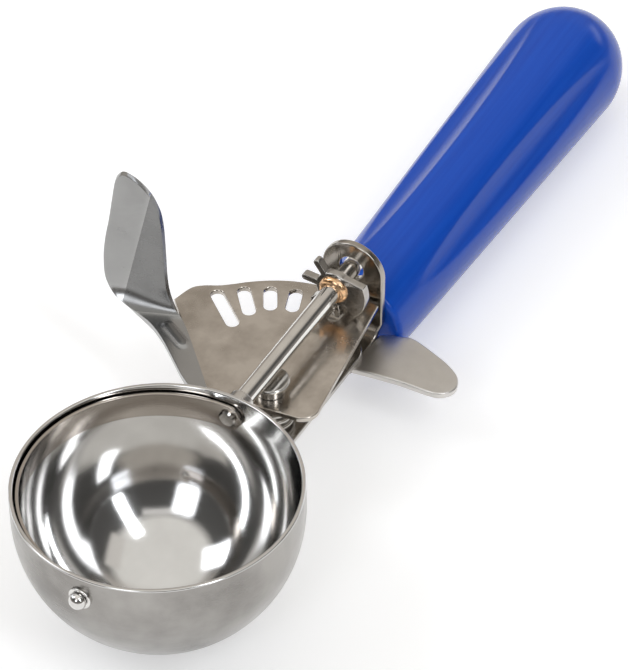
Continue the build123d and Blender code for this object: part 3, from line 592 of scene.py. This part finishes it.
rest_edge = smooth_path([(x * MM, y * MM) for x, y in (
    (67.1, -16.8), (67.7, -23.4), (69.0, -26.0), (71.6, -27.3), (74.6, -26.2), (76.6, -23.2),
    (78.0, -19.4), (79.8, -13.2), (79.2, -10.6), (78.6, -8.2))], 8)
finger_rest = plate(
    "finger_rest",
    [(REST_X0, REST_ROOT_Y), (REST_X0, -BASE_HALF_W)] + [tuple(p) for p in rest_edge]
    + [(77.4 * MM, -6.4 * MM), (REST_X1, -6.2 * MM), (REST_X1, REST_ROOT_Y)],
    [], FRAME_T, REST_EDGE)
scored(finger_rest, [(0, REST_FLAT_Y - REST_STEP * i, 0) for i in range(REST_CUTS)], (0, 1, 0))
for vertex in finger_rest.data.vertices:
    x, y, z = vertex.co
    turn = max(REST_FLAT_Y - y, 0) / REST_BEND_R
    vertex.co = (x, max(y, REST_FLAT_Y) - (REST_BEND_R + z) * math.sin(turn),
                 REST_Z + z - (REST_BEND_R + z) * (1 - math.cos(turn)))
smoothed(finger_rest)
dressed(finger_rest, rest_steel, "base", "frame_steel", "frame")

# ---------------------------------------------------------------- pivot post
# Turned post staked into the strap. Its wide head and shoulder hold the lever
# down, and a thin washer lies above and below the spring's coil.
HEAD_TOP = -8.2 * MM
HEAD_R = 4.0 * MM
HEAD_T = 0.8 * MM
HEAD_EDGE = 0.35 * MM
FAN_TOP = -11.5 * MM
FAN_T = 1.2 * MM
COLLAR_R = 2.9 * MM
COLLAR_FOOT = FAN_TOP + 0.15 * MM
POST_R = 2.1 * MM
STAKE_R = 1.6 * MM
STAKE_FOOT = STRAP_TOP - STRAP_T - 0.7 * MM
WASHER_R = 3.4 * MM
WASHER_BORE_R = 2.18 * MM
WASHER_EDGE = 0.1 * MM
UPPER_WASHER_T = 0.5 * MM
LOWER_WASHER_T = 0.6 * MM
Z_AXIS = (0, 0, 1)

turned_steel = metal("post_machined", (0.64, 0.63, 0.61), (0.42, 0.4, 0.38), (1500, 1500, 1500), 0.1, 0.22,
                     cloud_size=300, line_height=0.4)
post = turned(
    "post",
    [(HEAD_TOP, 0), (HEAD_TOP, HEAD_R - 0.45 * MM)]
    + arc((HEAD_TOP - HEAD_EDGE, HEAD_R - HEAD_EDGE), HEAD_EDGE, 20, 100, 4)
    + [(HEAD_TOP - HEAD_T, HEAD_R - 0.1 * MM), (HEAD_TOP - HEAD_T, COLLAR_R), (COLLAR_FOOT, COLLAR_R),
       (COLLAR_FOOT, POST_R), (STRAP_TOP, POST_R), (STRAP_TOP, STAKE_R), (STRAP_TOP - STRAP_T, STAKE_R),
       (STRAP_TOP - STRAP_T, 2.4 * MM), (STAKE_FOOT, 2.0 * MM), (STAKE_FOOT, 0)],
    (PIVOT_X, 0, 0), Z_AXIS)
dressed(post, turned_steel, "base", "post_steel", "pivot_post")

washer_steel = metal("washer_satin", (0.6, 0.59, 0.57), (0.45, 0.43, 0.41), (1500, 1500, 1500), 0.2, 0.34)
for name, low, high, body, node in (
        ("upper_washer", FAN_TOP - FAN_T - UPPER_WASHER_T, FAN_TOP - FAN_T, "lever", "lever_washer"),
        ("lower_washer", STRAP_TOP, STRAP_TOP + LOWER_WASHER_T, "base", "base_washer")):
    washer = turned(
        name,
        [(low, WASHER_BORE_R), (low, WASHER_R - WASHER_EDGE), (low + WASHER_EDGE, WASHER_R),
         (high - WASHER_EDGE, WASHER_R), (high, WASHER_R - WASHER_EDGE), (high, WASHER_BORE_R)],
        (PIVOT_X, 0, 0), Z_AXIS, 64)
    dressed(washer, washer_steel, body, "washer_steel", node)

# ---------------------------------------------------------------- return spring
# Torsion spring of drawn wire round the post. One end turns down into the strap
# and the other up into the lever, so it twists as the lever swings.
WIRE_R = 0.55 * MM
COIL_LOW = -18.87 * MM
COIL_HIGH = -13.43 * MM
COIL_TURNS = 3.125
LEG_LAP = 0.3 * MM


def ended(tree, geometry, finish):
    """Ends a piece's tree: smooth shading, real geometry and its finish."""
    smooth = added(tree, "GeometryNodeSetShadeSmooth", {"Geometry": geometry})
    real = added(tree, "GeometryNodeRealizeInstances", {"Geometry": smooth.outputs["Geometry"]})
    dressing = added(tree, "GeometryNodeSetMaterial", {"Geometry": real.outputs["Geometry"], "Material": finish})
    added(tree, "NodeGroupOutput", {"Geometry": dressing.outputs["Geometry"]})
    return tree


def spring_tree():
    """Wire swept along a coil, with a straight leg at each end."""
    tree = bpy.data.node_groups.new("torsion_spring", "GeometryNodeTree")
    declared(tree,
             (("Centre", "Vector"), ("Coil Radius", "Float"), ("Coil Height", "Float"), ("Turns", "Float"),
              ("Wire Radius", "Float"), ("Low Leg Top", "Vector"), ("Low Leg Foot", "Vector"),
              ("High Leg Foot", "Vector"), ("High Leg Top", "Vector"), ("Finish", "Material")),
             (("Geometry", "Geometry"),))
    given = added(tree, "NodeGroupInput").outputs
    coil = added(tree, "GeometryNodeCurveSpiral", {
        "Resolution": 48, "Rotations": given["Turns"], "Start Radius": given["Coil Radius"],
        "End Radius": given["Coil Radius"], "Height": given["Coil Height"]})
    raised = added(tree, "GeometryNodeTransform", {
        "Geometry": coil.outputs["Curve"], "Translation": given["Centre"]})
    joined = added(tree, "GeometryNodeJoinGeometry", {"Geometry": raised.outputs["Geometry"]})
    for start, end in (("Low Leg Top", "Low Leg Foot"), ("High Leg Foot", "High Leg Top")):
        leg = added(tree, "GeometryNodeCurvePrimitiveLine", {"Start": given[start], "End": given[end]})
        tree.links.new(leg.outputs["Curve"], joined.inputs["Geometry"])
    section = added(tree, "GeometryNodeCurvePrimitiveCircle", {"Resolution": 16, "Radius": given["Wire Radius"]})
    sweep = added(tree, "GeometryNodeCurveToMesh", {
        "Curve": joined.outputs["Geometry"], "Profile Curve": section.outputs["Curve"], "Fill Caps": True})
    return ended(tree, sweep.outputs["Mesh"], given["Finish"])


def grown(name, tree, values):
    """A piece grown by a node tree from named values, turned into a plain mesh."""
    piece = linked(name, bpy.data.meshes.new(name))
    maker = piece.modifiers.new("grow", "NODES")
    maker.node_group = tree
    sockets = {item.name: item.identifier for item in tree.interface.items_tree if item.in_out == "INPUT"}
    for key, value in values.items():
        maker[sockets[key]] = value
    piece.update_tag()
    finished(piece)
    return piece


wire_steel = metal("spring_wire", (0.5, 0.48, 0.45), (0.3, 0.28, 0.26), (1500, 1500, 1500), 0.16, 0.3)
top_turn = 2 * math.pi * COIL_TURNS
high_x = PIVOT_X + COIL_R * math.cos(top_turn)
high_y = COIL_R * math.sin(top_turn)
spring = grown("spring", spring_tree(), {
    "Centre": (PIVOT_X, 0, COIL_LOW), "Coil Radius": COIL_R, "Coil Height": COIL_HIGH - COIL_LOW,
    "Turns": COIL_TURNS, "Wire Radius": WIRE_R,
    "Low Leg Top": (PIVOT_X + COIL_R, 0, COIL_LOW + LEG_LAP),
    "Low Leg Foot": (PIVOT_X + COIL_R, 0, STRAP_TOP - STRAP_T),
    "High Leg Foot": (high_x, high_y, COIL_HIGH - LEG_LAP), "High Leg Top": (high_x, high_y, FAN_TOP),
    "Finish": wire_steel})
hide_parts("return_spring")
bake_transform(spring)

# ---------------------------------------------------------------- thumb lever
# One stamping: a fan plate whose slots drive the pinion, an arm along its left edge
# with a pressed bead, and a paddle bent up from the arm with a pressed flank in painted shade.
FAN_R = 33.3 * MM
FAN_RIM_START = -12
FAN_RIM_STOP = 42
FAN_RIM_MORE = 0.25
FAN_GROW_START = 10
FAN_GROW_SPAN = 12
FAN_SHOULDER = ((FAN_RIM_MORE, FAN_RIM_STOP), (0.7, 47.5), (1.9, 52.5), (2.4, 57))
FAN_EDGE = 0.25 * MM
HUB_R = 5.2 * MM
HUB_HOLE_R = 2.2 * MM
TONGUE = (PIVOT_X - 0.8 * MM, -7.8 * MM)
TONGUE_R = 3.6 * MM
SLOT_LEN = (6.9, 6.9, 6.9, 7.1, 8.7, 11.8)
SLOT_HALF_W = 1.4 * MM
SLOT_END_R = (30.9, 30.9, 31.0, 31.4, 32.0, 32.7)
SLOT_FIRST = -1.0
SLOT_STEP = 10.2
FOLD = Vector((58.4775, 29.9095)) * MM
ALONG = Vector((-0.354, 0.935))
OUTWARD = Vector((0.935, 0.354))
ARM_Z = FAN_TOP - FAN_T / 2
PADDLE_T = 1.3 * MM
PADDLE_EDGE = 0.4 * MM
PADDLE_BEND = 6.0 * MM
PADDLE_START = ARM_Z + PADDLE_BEND * (1 - math.pi / 2)
PADDLE_ROWS = 9
PADDLE_COLUMNS = 26

fan_steel = metal("fan_satin", (0.64, 0.595, 0.54), (0.3, 0.26, 0.22), (900, 900, 900), 0.1, 0.3,
                  cloud_size=100, cloud_amount=0.7)
paddle_steel = metal("paddle_polish", (0.42, 0.42, 0.417), (0.33, 0.33, 0.327), (500, 500, 1500), 0.2, 0.3,
                     cloud_size=110, cloud_amount=0.4, line_height=0.3)
# The flank's copy of the paddle's steel is darker only as painted shade.
flank_painted_shade = metal("paddle_flank_painted_shade", (0.24, 0.24, 0.238), (0.18, 0.18, 0.178), (500, 500, 1500), 0.24, 0.34,
                    cloud_size=110, cloud_amount=0.4, line_height=0.3)


def about_pivot(radius, degrees):
    """A point of the fan plate by its distance and angle from the pivot."""
    return (PIVOT_X + radius * math.cos(math.radians(degrees)), radius * math.sin(math.radians(degrees)))


def slot_outline(start, end, half_width, degrees):
    """A slot with round ends, lying along a spoke of the fan."""
    spoke = math.radians(degrees)
    ends = (arc((end - half_width, 0), half_width, -90, 90, 10)
            + arc((start + half_width, 0), half_width, 90, 270, 10))
    return [(PIVOT_X + x * math.cos(spoke) - y * math.sin(spoke), x * math.sin(spoke) + y * math.cos(spoke))
            for x, y in ends]


crease_top = FOLD + OUTWARD * 0.3 * MM + ALONG * 1.25 * MM
crease_foot = FOLD - OUTWARD * 25.5 * MM - ALONG * 9.7 * MM
rim = [about_pivot(FAN_R + FAN_RIM_MORE * MM * min(max(a - FAN_GROW_START, 0) / FAN_GROW_SPAN, 1), a)
       for a in range(FAN_RIM_START, FAN_RIM_STOP + 1)]
shoulder = smooth_path(
    [about_pivot(FAN_R + more * MM, a) for more, a in FAN_SHOULDER] + [tuple(crease_top)], 6)[1:]
fan = plate(
    "fan_plate",
    rim + [tuple(p) for p in shoulder] + [tuple(crease_foot)]
    + arc((PIVOT_X, 0), HUB_R, 150, 186, 8) + arc(TONGUE, TONGUE_R, 186, 286, 16),
    [slot_outline((end - length) * MM, end * MM, SLOT_HALF_W, SLOT_FIRST + SLOT_STEP * k)
     for k, (end, length) in enumerate(zip(SLOT_END_R, SLOT_LEN))]
    + [arc((PIVOT_X, 0), HUB_HOLE_R, 0, 360, 32)[:-1], arc((high_x, high_y), HOOK_HOLE_R, 0, 360, 20)[:-1]],
    FAN_T, FAN_EDGE)
fan.data.transform(Matrix.Translation((0, 0, ARM_Z)))
smoothed(fan)
dressed(fan, fan_steel, "lever", "lever_steel", "thumb_lever")

# The sheet of arm and paddle drawn flat, in millimetres: each point is its distance
# past the start of the bend, and its distance along the fold.
RIGHT_EDGE = ((-20, -10.4), (-14, -8.0), (-8, -5.5), (-3, -3.4), (0, -2.0), (3.5, -0.1), (7.6, 1.5), (12.3, 2.0),
              (16.5, 2.1), (20.5, 2.2), (24.5, 2.35), (27.7, 2.75), (30.2, 3.6), (33.3, 5.2), (35.8, 7.3),
              (37.1, 9.0), (37.5, 9.8))
LEFT_EDGE = ((-20.5, -7.6), (-16, -4.4), (-11.5, -1.87), (-6.5, 0.9), (-3, 3.2), (-0.2, 5.6), (2.6, 9.1), (5.4, 12.9),
             (9.4, 14.9), (15.2, 15.1), (20.5, 14.5), (25.5, 13.5), (30.2, 12.7), (33.7, 12.1), (36.0, 11.6),
             (37.2, 10.7), (37.5, 10.1))
PRESS_POINT = (26.18, 6.21)
PRESS_SLOPE = 0.2458
PRESS_TURN = 0.26
PRESS_EASE = 0.5
PRESS_FADE = (1.0, 10.5)
FLANK_START = 4.4
FLANK_FACING = 0.3
BEAD_MIDDLE = (-3.9, -0.9)
BEAD_HALF_LEN = 4.8
BEAD_HALF_W = 1.7
BEAD_RISE = 0.5 * MM
BEAD_SLOPE = math.radians(39)


def beyond_press(past, along):
    """How far a point of the flat sheet lies on the flank's side of the pressed line, in millimetres."""
    return PRESS_POINT[1] + (PRESS_POINT[0] - past) * PRESS_SLOPE - along


def lever_point(past, along):
    """Bends a flat point of the sheet into place, presses the paddle's flank and the arm's bead."""
    turn = min(max(past, 0) / (PADDLE_BEND / MM), math.pi / 2)
    rise = max(past - PADDLE_BEND / MM * math.pi / 2, 0) * MM
    reach = -PADDLE_BEND + min(past, 0) * MM + PADDLE_BEND * math.sin(turn) - PADDLE_T / 2
    beyond = beyond_press(past, along)
    fade = min(max((past - PRESS_FADE[0]) / (PRESS_FADE[1] - PRESS_FADE[0]), 0), 1)
    reach -= PRESS_TURN * (beyond + math.sqrt(beyond**2 + PRESS_EASE)) / 2 * fade**2 * (3 - 2 * fade) * MM
    a = (past - BEAD_MIDDLE[0]) * math.cos(BEAD_SLOPE) + (along - BEAD_MIDDLE[1]) * math.sin(BEAD_SLOPE)
    b = (along - BEAD_MIDDLE[1]) * math.cos(BEAD_SLOPE) - (past - BEAD_MIDDLE[0]) * math.sin(BEAD_SLOPE)
    inside = max(0, 1 - math.hypot(max(abs(a) - BEAD_HALF_LEN + BEAD_HALF_W, 0), b) / BEAD_HALF_W)
    bead_height = BEAD_RISE * (3 * inside**2 - 2 * inside**3)
    flat = FOLD + OUTWARD * reach + ALONG * along * MM
    height = ARM_Z + PADDLE_BEND * (1 - math.cos(turn)) + rise + bead_height * math.cos(turn)
    return Vector((flat.x - OUTWARD.x * bead_height * math.sin(turn),
                   flat.y - OUTWARD.y * bead_height * math.sin(turn), height))


paddle = sheet(
    "arm_and_paddle",
    [[lever_point(*right.lerp(left, k / PADDLE_COLUMNS)) for k in range(PADDLE_COLUMNS + 1)]
     for right, left in zip(smooth_path(RIGHT_EDGE, PADDLE_ROWS), smooth_path(LEFT_EDGE, PADDLE_ROWS))],
    PADDLE_T, PADDLE_EDGE)
dressed(paddle, paddle_steel, "lever", "lever_steel", "thumb_lever")
paddle.data.materials.append(flank_painted_shade)
press_line = FOLD + ALONG * PRESS_POINT[1] * MM
scored(paddle, [(*press_line, PADDLE_START + PRESS_POINT[0] * MM)], (*ALONG, PRESS_SLOPE))
scored(paddle, [(*press_line, PADDLE_START + FLANK_START * MM)], Z_AXIS)
smoothed(paddle)
# Inward-facing faces on the flank side of the pressed line take the darker copy, which is painted shade.
for face in paddle.data.polygons:
    past = (face.center.z - PADDLE_START) / MM
    along = (Vector(face.center[:2]) - FOLD).dot(ALONG) / MM
    inner = face.normal.dot(Vector((*OUTWARD, 0))) < FLANK_FACING
    face.material_index = 1 if beyond_press(past, along) > 0 and past > FLANK_START and inner else 0

# ---------------------------------------------------------------- tang and rivets
# Flat bar under the frame's base, moulded into the grip. Two round-headed rivets
# clamp the strap, the base and the tang.
TANG_T = 2.6 * MM
TANG_TOP = BASE_TOP - FRAME_T
TANG_X0 = 56.5 * MM
TANG_X1 = 160 * MM
TANG_HALF_W = 4.0 * MM
TANG_CORNER = 2.5 * MM
TANG_EDGE = 0.25 * MM
RIVET_XS = (STRAP_END - 15 * MM, STRAP_END - 6 * MM)
RIVET_R = 1.6 * MM
RIVET_HEAD_R = 2.8 * MM
RIVET_HEAD_H = 0.8 * MM

corner_y = TANG_HALF_W - TANG_CORNER
tang = plate(
    "tang",
    arc((TANG_X0 + TANG_CORNER, corner_y), TANG_CORNER, 90, 180, 8)
    + arc((TANG_X0 + TANG_CORNER, -corner_y), TANG_CORNER, 180, 270, 8)
    + arc((TANG_X1 - TANG_CORNER, -corner_y), TANG_CORNER, 270, 360, 8)
    + arc((TANG_X1 - TANG_CORNER, corner_y), TANG_CORNER, 0, 90, 8),
    [], TANG_T, TANG_EDGE)
tang.data.transform(Matrix.Translation((0, 0, TANG_TOP - TANG_T / 2)))
smoothed(tang)
dressed(tang, strap_steel, "base", "tang_steel", "handle_tang")


def rivet_tree():
    """Round-headed rivets set in a row: two flattened balls and a shank for each."""
    tree = bpy.data.node_groups.new("rivet_row", "GeometryNodeTree")
    declared(tree,
             (("First", "Vector"), ("Last", "Vector"), ("Count", "Int"), ("Head Radius", "Float"),
              ("Head Height", "Float"), ("Shank Radius", "Float"), ("Grip", "Float"), ("Finish", "Material")),
             (("Geometry", "Geometry"),))
    given = added(tree, "NodeGroupInput").outputs
    row = added(tree, "GeometryNodeMeshLine", {
        "Count": given["Count"], "Start Location": given["First"], "Offset": given["Last"]}, mode="END_POINTS")
    ball = added(tree, "GeometryNodeMeshUVSphere", {"Segments": 40, "Rings": 20, "Radius": given["Head Radius"]})
    squash = added(tree, "ShaderNodeMath", {0: given["Head Height"], 1: given["Head Radius"]}, operation="DIVIDE")
    flatness = added(tree, "ShaderNodeCombineXYZ", {"X": 1, "Y": 1, "Z": squash.outputs[0]})
    joined = added(tree, "GeometryNodeJoinGeometry")
    for share in (0.5, -0.5):
        half = added(tree, "ShaderNodeMath", {0: given["Grip"], 1: share}, operation="MULTIPLY")
        lift = added(tree, "ShaderNodeCombineXYZ", {"Z": half.outputs[0]})
        head = added(tree, "GeometryNodeTransform", {
            "Geometry": ball.outputs["Mesh"], "Translation": lift.outputs[0], "Scale": flatness.outputs[0]})
        tree.links.new(head.outputs["Geometry"], joined.inputs["Geometry"])
    shank = added(tree, "GeometryNodeMeshCylinder", {"Radius": given["Shank Radius"], "Depth": given["Grip"]})
    tree.links.new(shank.outputs["Mesh"], joined.inputs["Geometry"])
    set_out = added(tree, "GeometryNodeInstanceOnPoints", {
        "Points": row.outputs["Mesh"], "Instance": joined.outputs["Geometry"]})
    return ended(tree, set_out.outputs["Instances"], given["Finish"])


rivet_middle = (STRAP_TOP + TANG_TOP - TANG_T) / 2
rivets = grown("rivets", rivet_tree(), {
    "First": (RIVET_XS[0], 0, rivet_middle), "Last": (RIVET_XS[1], 0, rivet_middle), "Count": len(RIVET_XS),
    "Head Radius": RIVET_HEAD_R, "Head Height": RIVET_HEAD_H, "Shank Radius": RIVET_R,
    "Grip": STRAP_TOP - TANG_TOP + TANG_T, "Finish": turned_steel})
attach(rivets, "base")
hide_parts("tang_rivets")

# ---------------------------------------------------------------- grip
# Moulded plastic over the tang: it swells towards a domed end and has four
# shallow flutes that run out at both ends.
GRIP_Z = -21.2 * MM
GRIP_X0 = 79.3 * MM
GRIP_X1 = 189.0 * MM
GRIP_R0 = 10.4 * MM
GRIP_R1 = 13.6 * MM
GRIP_EDGE = 1.2 * MM
GRIP_STEPS = 180
GRIP_STATIONS = 70
SHOULDER_X = GRIP_X1 - 15 * MM
GRIP_SLOPE = (GRIP_R1 - GRIP_R0) / (SHOULDER_X - GRIP_X0)
FLUTE_R = 14 * MM
FLUTE_DEPTH = 1.0 * MM
FLUTE_EASE = 0.06 * MM
FLUTE_X0 = GRIP_X0 + 11 * MM
FLUTE_X1 = SHOULDER_X + 1 * MM
FLUTE_MIDDLE = (FLUTE_X0 + FLUTE_X1) / 2
FLUTE_BEND = (FLUTE_X1 - FLUTE_X0)**2 / (8 * FLUTE_DEPTH)
FLUTE_ANGLES = (60, 150, 240, 330)


def grip_radius(x, degrees):
    """The grip's radius at this place along it and round it, flutes taken off."""
    cone_r = GRIP_R0 + GRIP_SLOPE * (x - GRIP_X0)
    if x > SHOULDER_X:
        round_r = GRIP_R1 * math.sqrt(max(1 - ((x - SHOULDER_X) / (GRIP_X1 - SHOULDER_X))**2, 0))
    else:
        edge = max(GRIP_EDGE - (x - GRIP_X0), 0)
        round_r = cone_r - GRIP_EDGE + math.sqrt(GRIP_EDGE**2 - edge**2)
    off = min(abs((degrees - flute + 180) % 360 - 180) for flute in FLUTE_ANGLES)
    centre = cone_r - FLUTE_DEPTH + (x - FLUTE_MIDDLE)**2 / (2 * FLUTE_BEND) + FLUTE_R
    chord = FLUTE_R**2 - (centre * math.sin(math.radians(off)))**2
    if chord > 0:
        gap = round_r - centre * math.cos(math.radians(off)) + math.sqrt(chord)
        if gap > -4 * FLUTE_EASE:
            return round_r - (gap + math.sqrt(gap**2 + FLUTE_EASE**2)) / 2 + FLUTE_EASE * 0.03
    return round_r


def plastic(name, colour, pale, drawn):
    """Glossy moulded plastic with fine drawn lines in its colour and gloss."""
    material = bpy.data.materials.new(name)
    material.use_nodes = True
    tree = material.node_tree
    place = added(tree, "ShaderNodeTexCoord").outputs["Object"]
    stretch = added(tree, "ShaderNodeMapping", {"Vector": place, "Scale": drawn})
    lines = added(tree, "ShaderNodeTexNoise", {
        "Vector": stretch.outputs["Vector"], "Scale": 1, "Detail": 5}).outputs["Fac"]
    tint = added(tree, "ShaderNodeValToRGB", {"Fac": lines})
    for stop, share, shade in zip(tint.color_ramp.elements, (0.2, 0.8), (colour, pale)):
        stop.position = share
        stop.color = (*shade, 1)
    gloss = added(tree, "ShaderNodeMapRange", {"Value": lines, "To Min": 0.16, "To Max": 0.3})
    bump = added(tree, "ShaderNodeBump", {"Distance": 0.006 * MM, "Height": lines})
    fed(tree, tree.nodes["Principled BSDF"], {
        "Base Color": tint.outputs["Color"], "Roughness": gloss.outputs["Result"],
        "Specular IOR Level": 0.35, "Normal": bump.outputs["Normal"]})
    return material


edge_stop = GRIP_X0 + GRIP_EDGE
stations = ([edge_stop - GRIP_EDGE * math.cos(math.radians(a)) for a in range(0, 91, 15)]
            + [edge_stop + (SHOULDER_X - edge_stop) * i / GRIP_STATIONS for i in range(1, GRIP_STATIONS + 1)]
            + [SHOULDER_X + (GRIP_X1 - SHOULDER_X) * math.sin(math.radians(a)) for a in range(4, 90, 4)])
bm = bmesh.new()
rings = []
for x in stations:
    rings.append([])
    for i in range(GRIP_STEPS):
        degrees = 360 * i / GRIP_STEPS
        r = grip_radius(x, degrees)
        rings[-1].append(bm.verts.new((x, r * math.cos(math.radians(degrees)),
                                       GRIP_Z + r * math.sin(math.radians(degrees)))))
for one, two in zip(rings, rings[1:]):
    for i in range(GRIP_STEPS):
        j = (i + 1) % GRIP_STEPS
        bm.faces.new((one[i], one[j], two[j], two[i]))
for ring, tip in ((rings[0], GRIP_X0), (rings[-1], GRIP_X1)):
    middle = bm.verts.new((tip, 0, GRIP_Z))
    for i in range(GRIP_STEPS):
        bm.faces.new((ring[i], ring[(i + 1) % GRIP_STEPS], middle))
grip = smoothed(linked("moulded_grip", meshed("moulded_grip", bm)), 60)
blue = plastic("moulded_blue", (0.002, 0.062, 0.46), (0.006, 0.085, 0.54), (14, 900, 900))
dressed(grip, blue, "base", "grip_plastic", "handle_grip")

# ---------------------------------------------------------------- floor and room
# A plain pale table under the scoop, white to the eye and in reflections, in a dim
# room with a pale ceiling and panels hung round it: the bright ones light the scoop.
TABLE_Z = GRIP_Z - GRIP_R1 - 0.1 * MM
TABLE_HALF = 3000 * MM

table_mesh = bpy.data.meshes.new("floor")
table_mesh.from_pydata([(TABLE_HALF * x, TABLE_HALF * y, TABLE_Z) for x, y in ((-1, -1), (1, -1), (1, 1), (-1, 1))],
                       [], [(0, 1, 2, 3)])
linked("floor", table_mesh)
paper = bpy.data.materials.new("white_paper")
paper.use_nodes = True
tree = paper.node_tree
rays = added(tree, "ShaderNodeLightPath").outputs
seen = rays["Is Camera Ray"]
for name in ("Is Glossy Ray", "Is Transmission Ray"):
    seen = added(tree, "ShaderNodeMath", {0: seen, 1: rays[name]}, operation="MAXIMUM").outputs[0]
lift = added(tree, "ShaderNodeMath", {0: seen, 1: 0.4}, operation="MULTIPLY")
fed(tree, tree.nodes["Principled BSDF"], {
    "Base Color": (0.8, 0.8, 0.8, 1), "Roughness": 0.9, "Specular IOR Level": 0,
    "Emission Color": (1, 1, 1, 1), "Emission Strength": lift.outputs[0]})
table_mesh.materials.append(paper)

world = bpy.data.worlds.new("room")
bpy.context.scene.world = world
world.use_nodes = True
tree = world.node_tree
direction = added(tree, "ShaderNodeTexCoord").outputs["Generated"]
parts = added(tree, "ShaderNodeSeparateXYZ", {0: direction})
walls = added(tree, "ShaderNodeValToRGB", {"Fac": parts.outputs["Z"]})
stops = walls.color_ramp.elements
stops.remove(stops[1])
stops[0].color = (0.3, 0.28, 0.26, 1)
for height, colour in ((0.3, (0.2, 0.19, 0.18)), (0.42, (0.08, 0.078, 0.075)),
                       (0.74, (0.1, 0.098, 0.095)), (0.82, (0.86, 0.84, 0.8))):
    stops.new(height).color = (*colour, 1)


def hung(behind, azimuth, elevation, half_width, half_height, colour, blur):
    """Adds a panel to the room: half sizes and blurred edge in degrees as seen from the bowl."""
    a, e = math.radians(azimuth), math.radians(elevation)
    ahead = Vector((math.cos(e) * math.cos(a), math.cos(e) * math.sin(a), math.sin(e)))
    side = Vector((-math.sin(a), math.cos(a), 0))
    front = added(tree, "ShaderNodeVectorMath", {0: direction, 1: ahead}, operation="DOT_PRODUCT")
    share = added(tree, "ShaderNodeMath", {0: front.outputs["Value"], 1: 0}, operation="GREATER_THAN").outputs[0]
    for axis, half in ((side, half_width), (ahead.cross(side), half_height)):
        dot = added(tree, "ShaderNodeVectorMath", {0: direction, 1: axis}, operation="DOT_PRODUCT")
        size = added(tree, "ShaderNodeMath", {0: dot.outputs["Value"]}, operation="ABSOLUTE")
        inside = added(tree, "ShaderNodeMapRange", {
            "Value": size.outputs[0], "From Min": math.sin(math.radians(half + blur)),
            "From Max": math.sin(math.radians(max(half - blur, 0)))}, interpolation_type="SMOOTHSTEP")
        share = added(tree, "ShaderNodeMath", {0: share, 1: inside.outputs["Result"]},
                      operation="MULTIPLY").outputs[0]
    mix = added(tree, "ShaderNodeMix", {"Factor": share, "A": behind, "B": (*colour, 1)},
                data_type="RGBA", clamp_result=False)
    return mix.outputs["Result"]


room = walls.outputs["Color"]
for panel in (  # azimuth, elevation, half width, half height, colour, blurred edge
        (30, 20, 46, 16, (0.34, 0.31, 0.28), 8),
        (30, 42, 42, 18, (0.6, 0.56, 0.51), 8),
        (-62, 54, 14, 6, (0.75, 0.72, 0.68), 2),
        (-148, 49, 14, 2.5, (0.8, 0.78, 0.76), 2),
        (-109, 45, 4, 18, (8.5, 8.8, 9.2), 1.5),
        (-176, 37, 8, 11, (4.5, 4.6, 4.8), 4),
        (110, 44, 8, 14, (4.5, 4.6, 4.8), 3),
        (-20, 20, 12, 4, (2.6, 2.7, 2.9), 2.5),
        (85, 20, 12, 4, (2.6, 2.7, 2.9), 2.5)):
    room = hung(room, *panel)
fed(tree, tree.nodes["Background"], {"Color": room, "Strength": 1})

bpy.context.scene.view_settings.view_transform = "Standard"
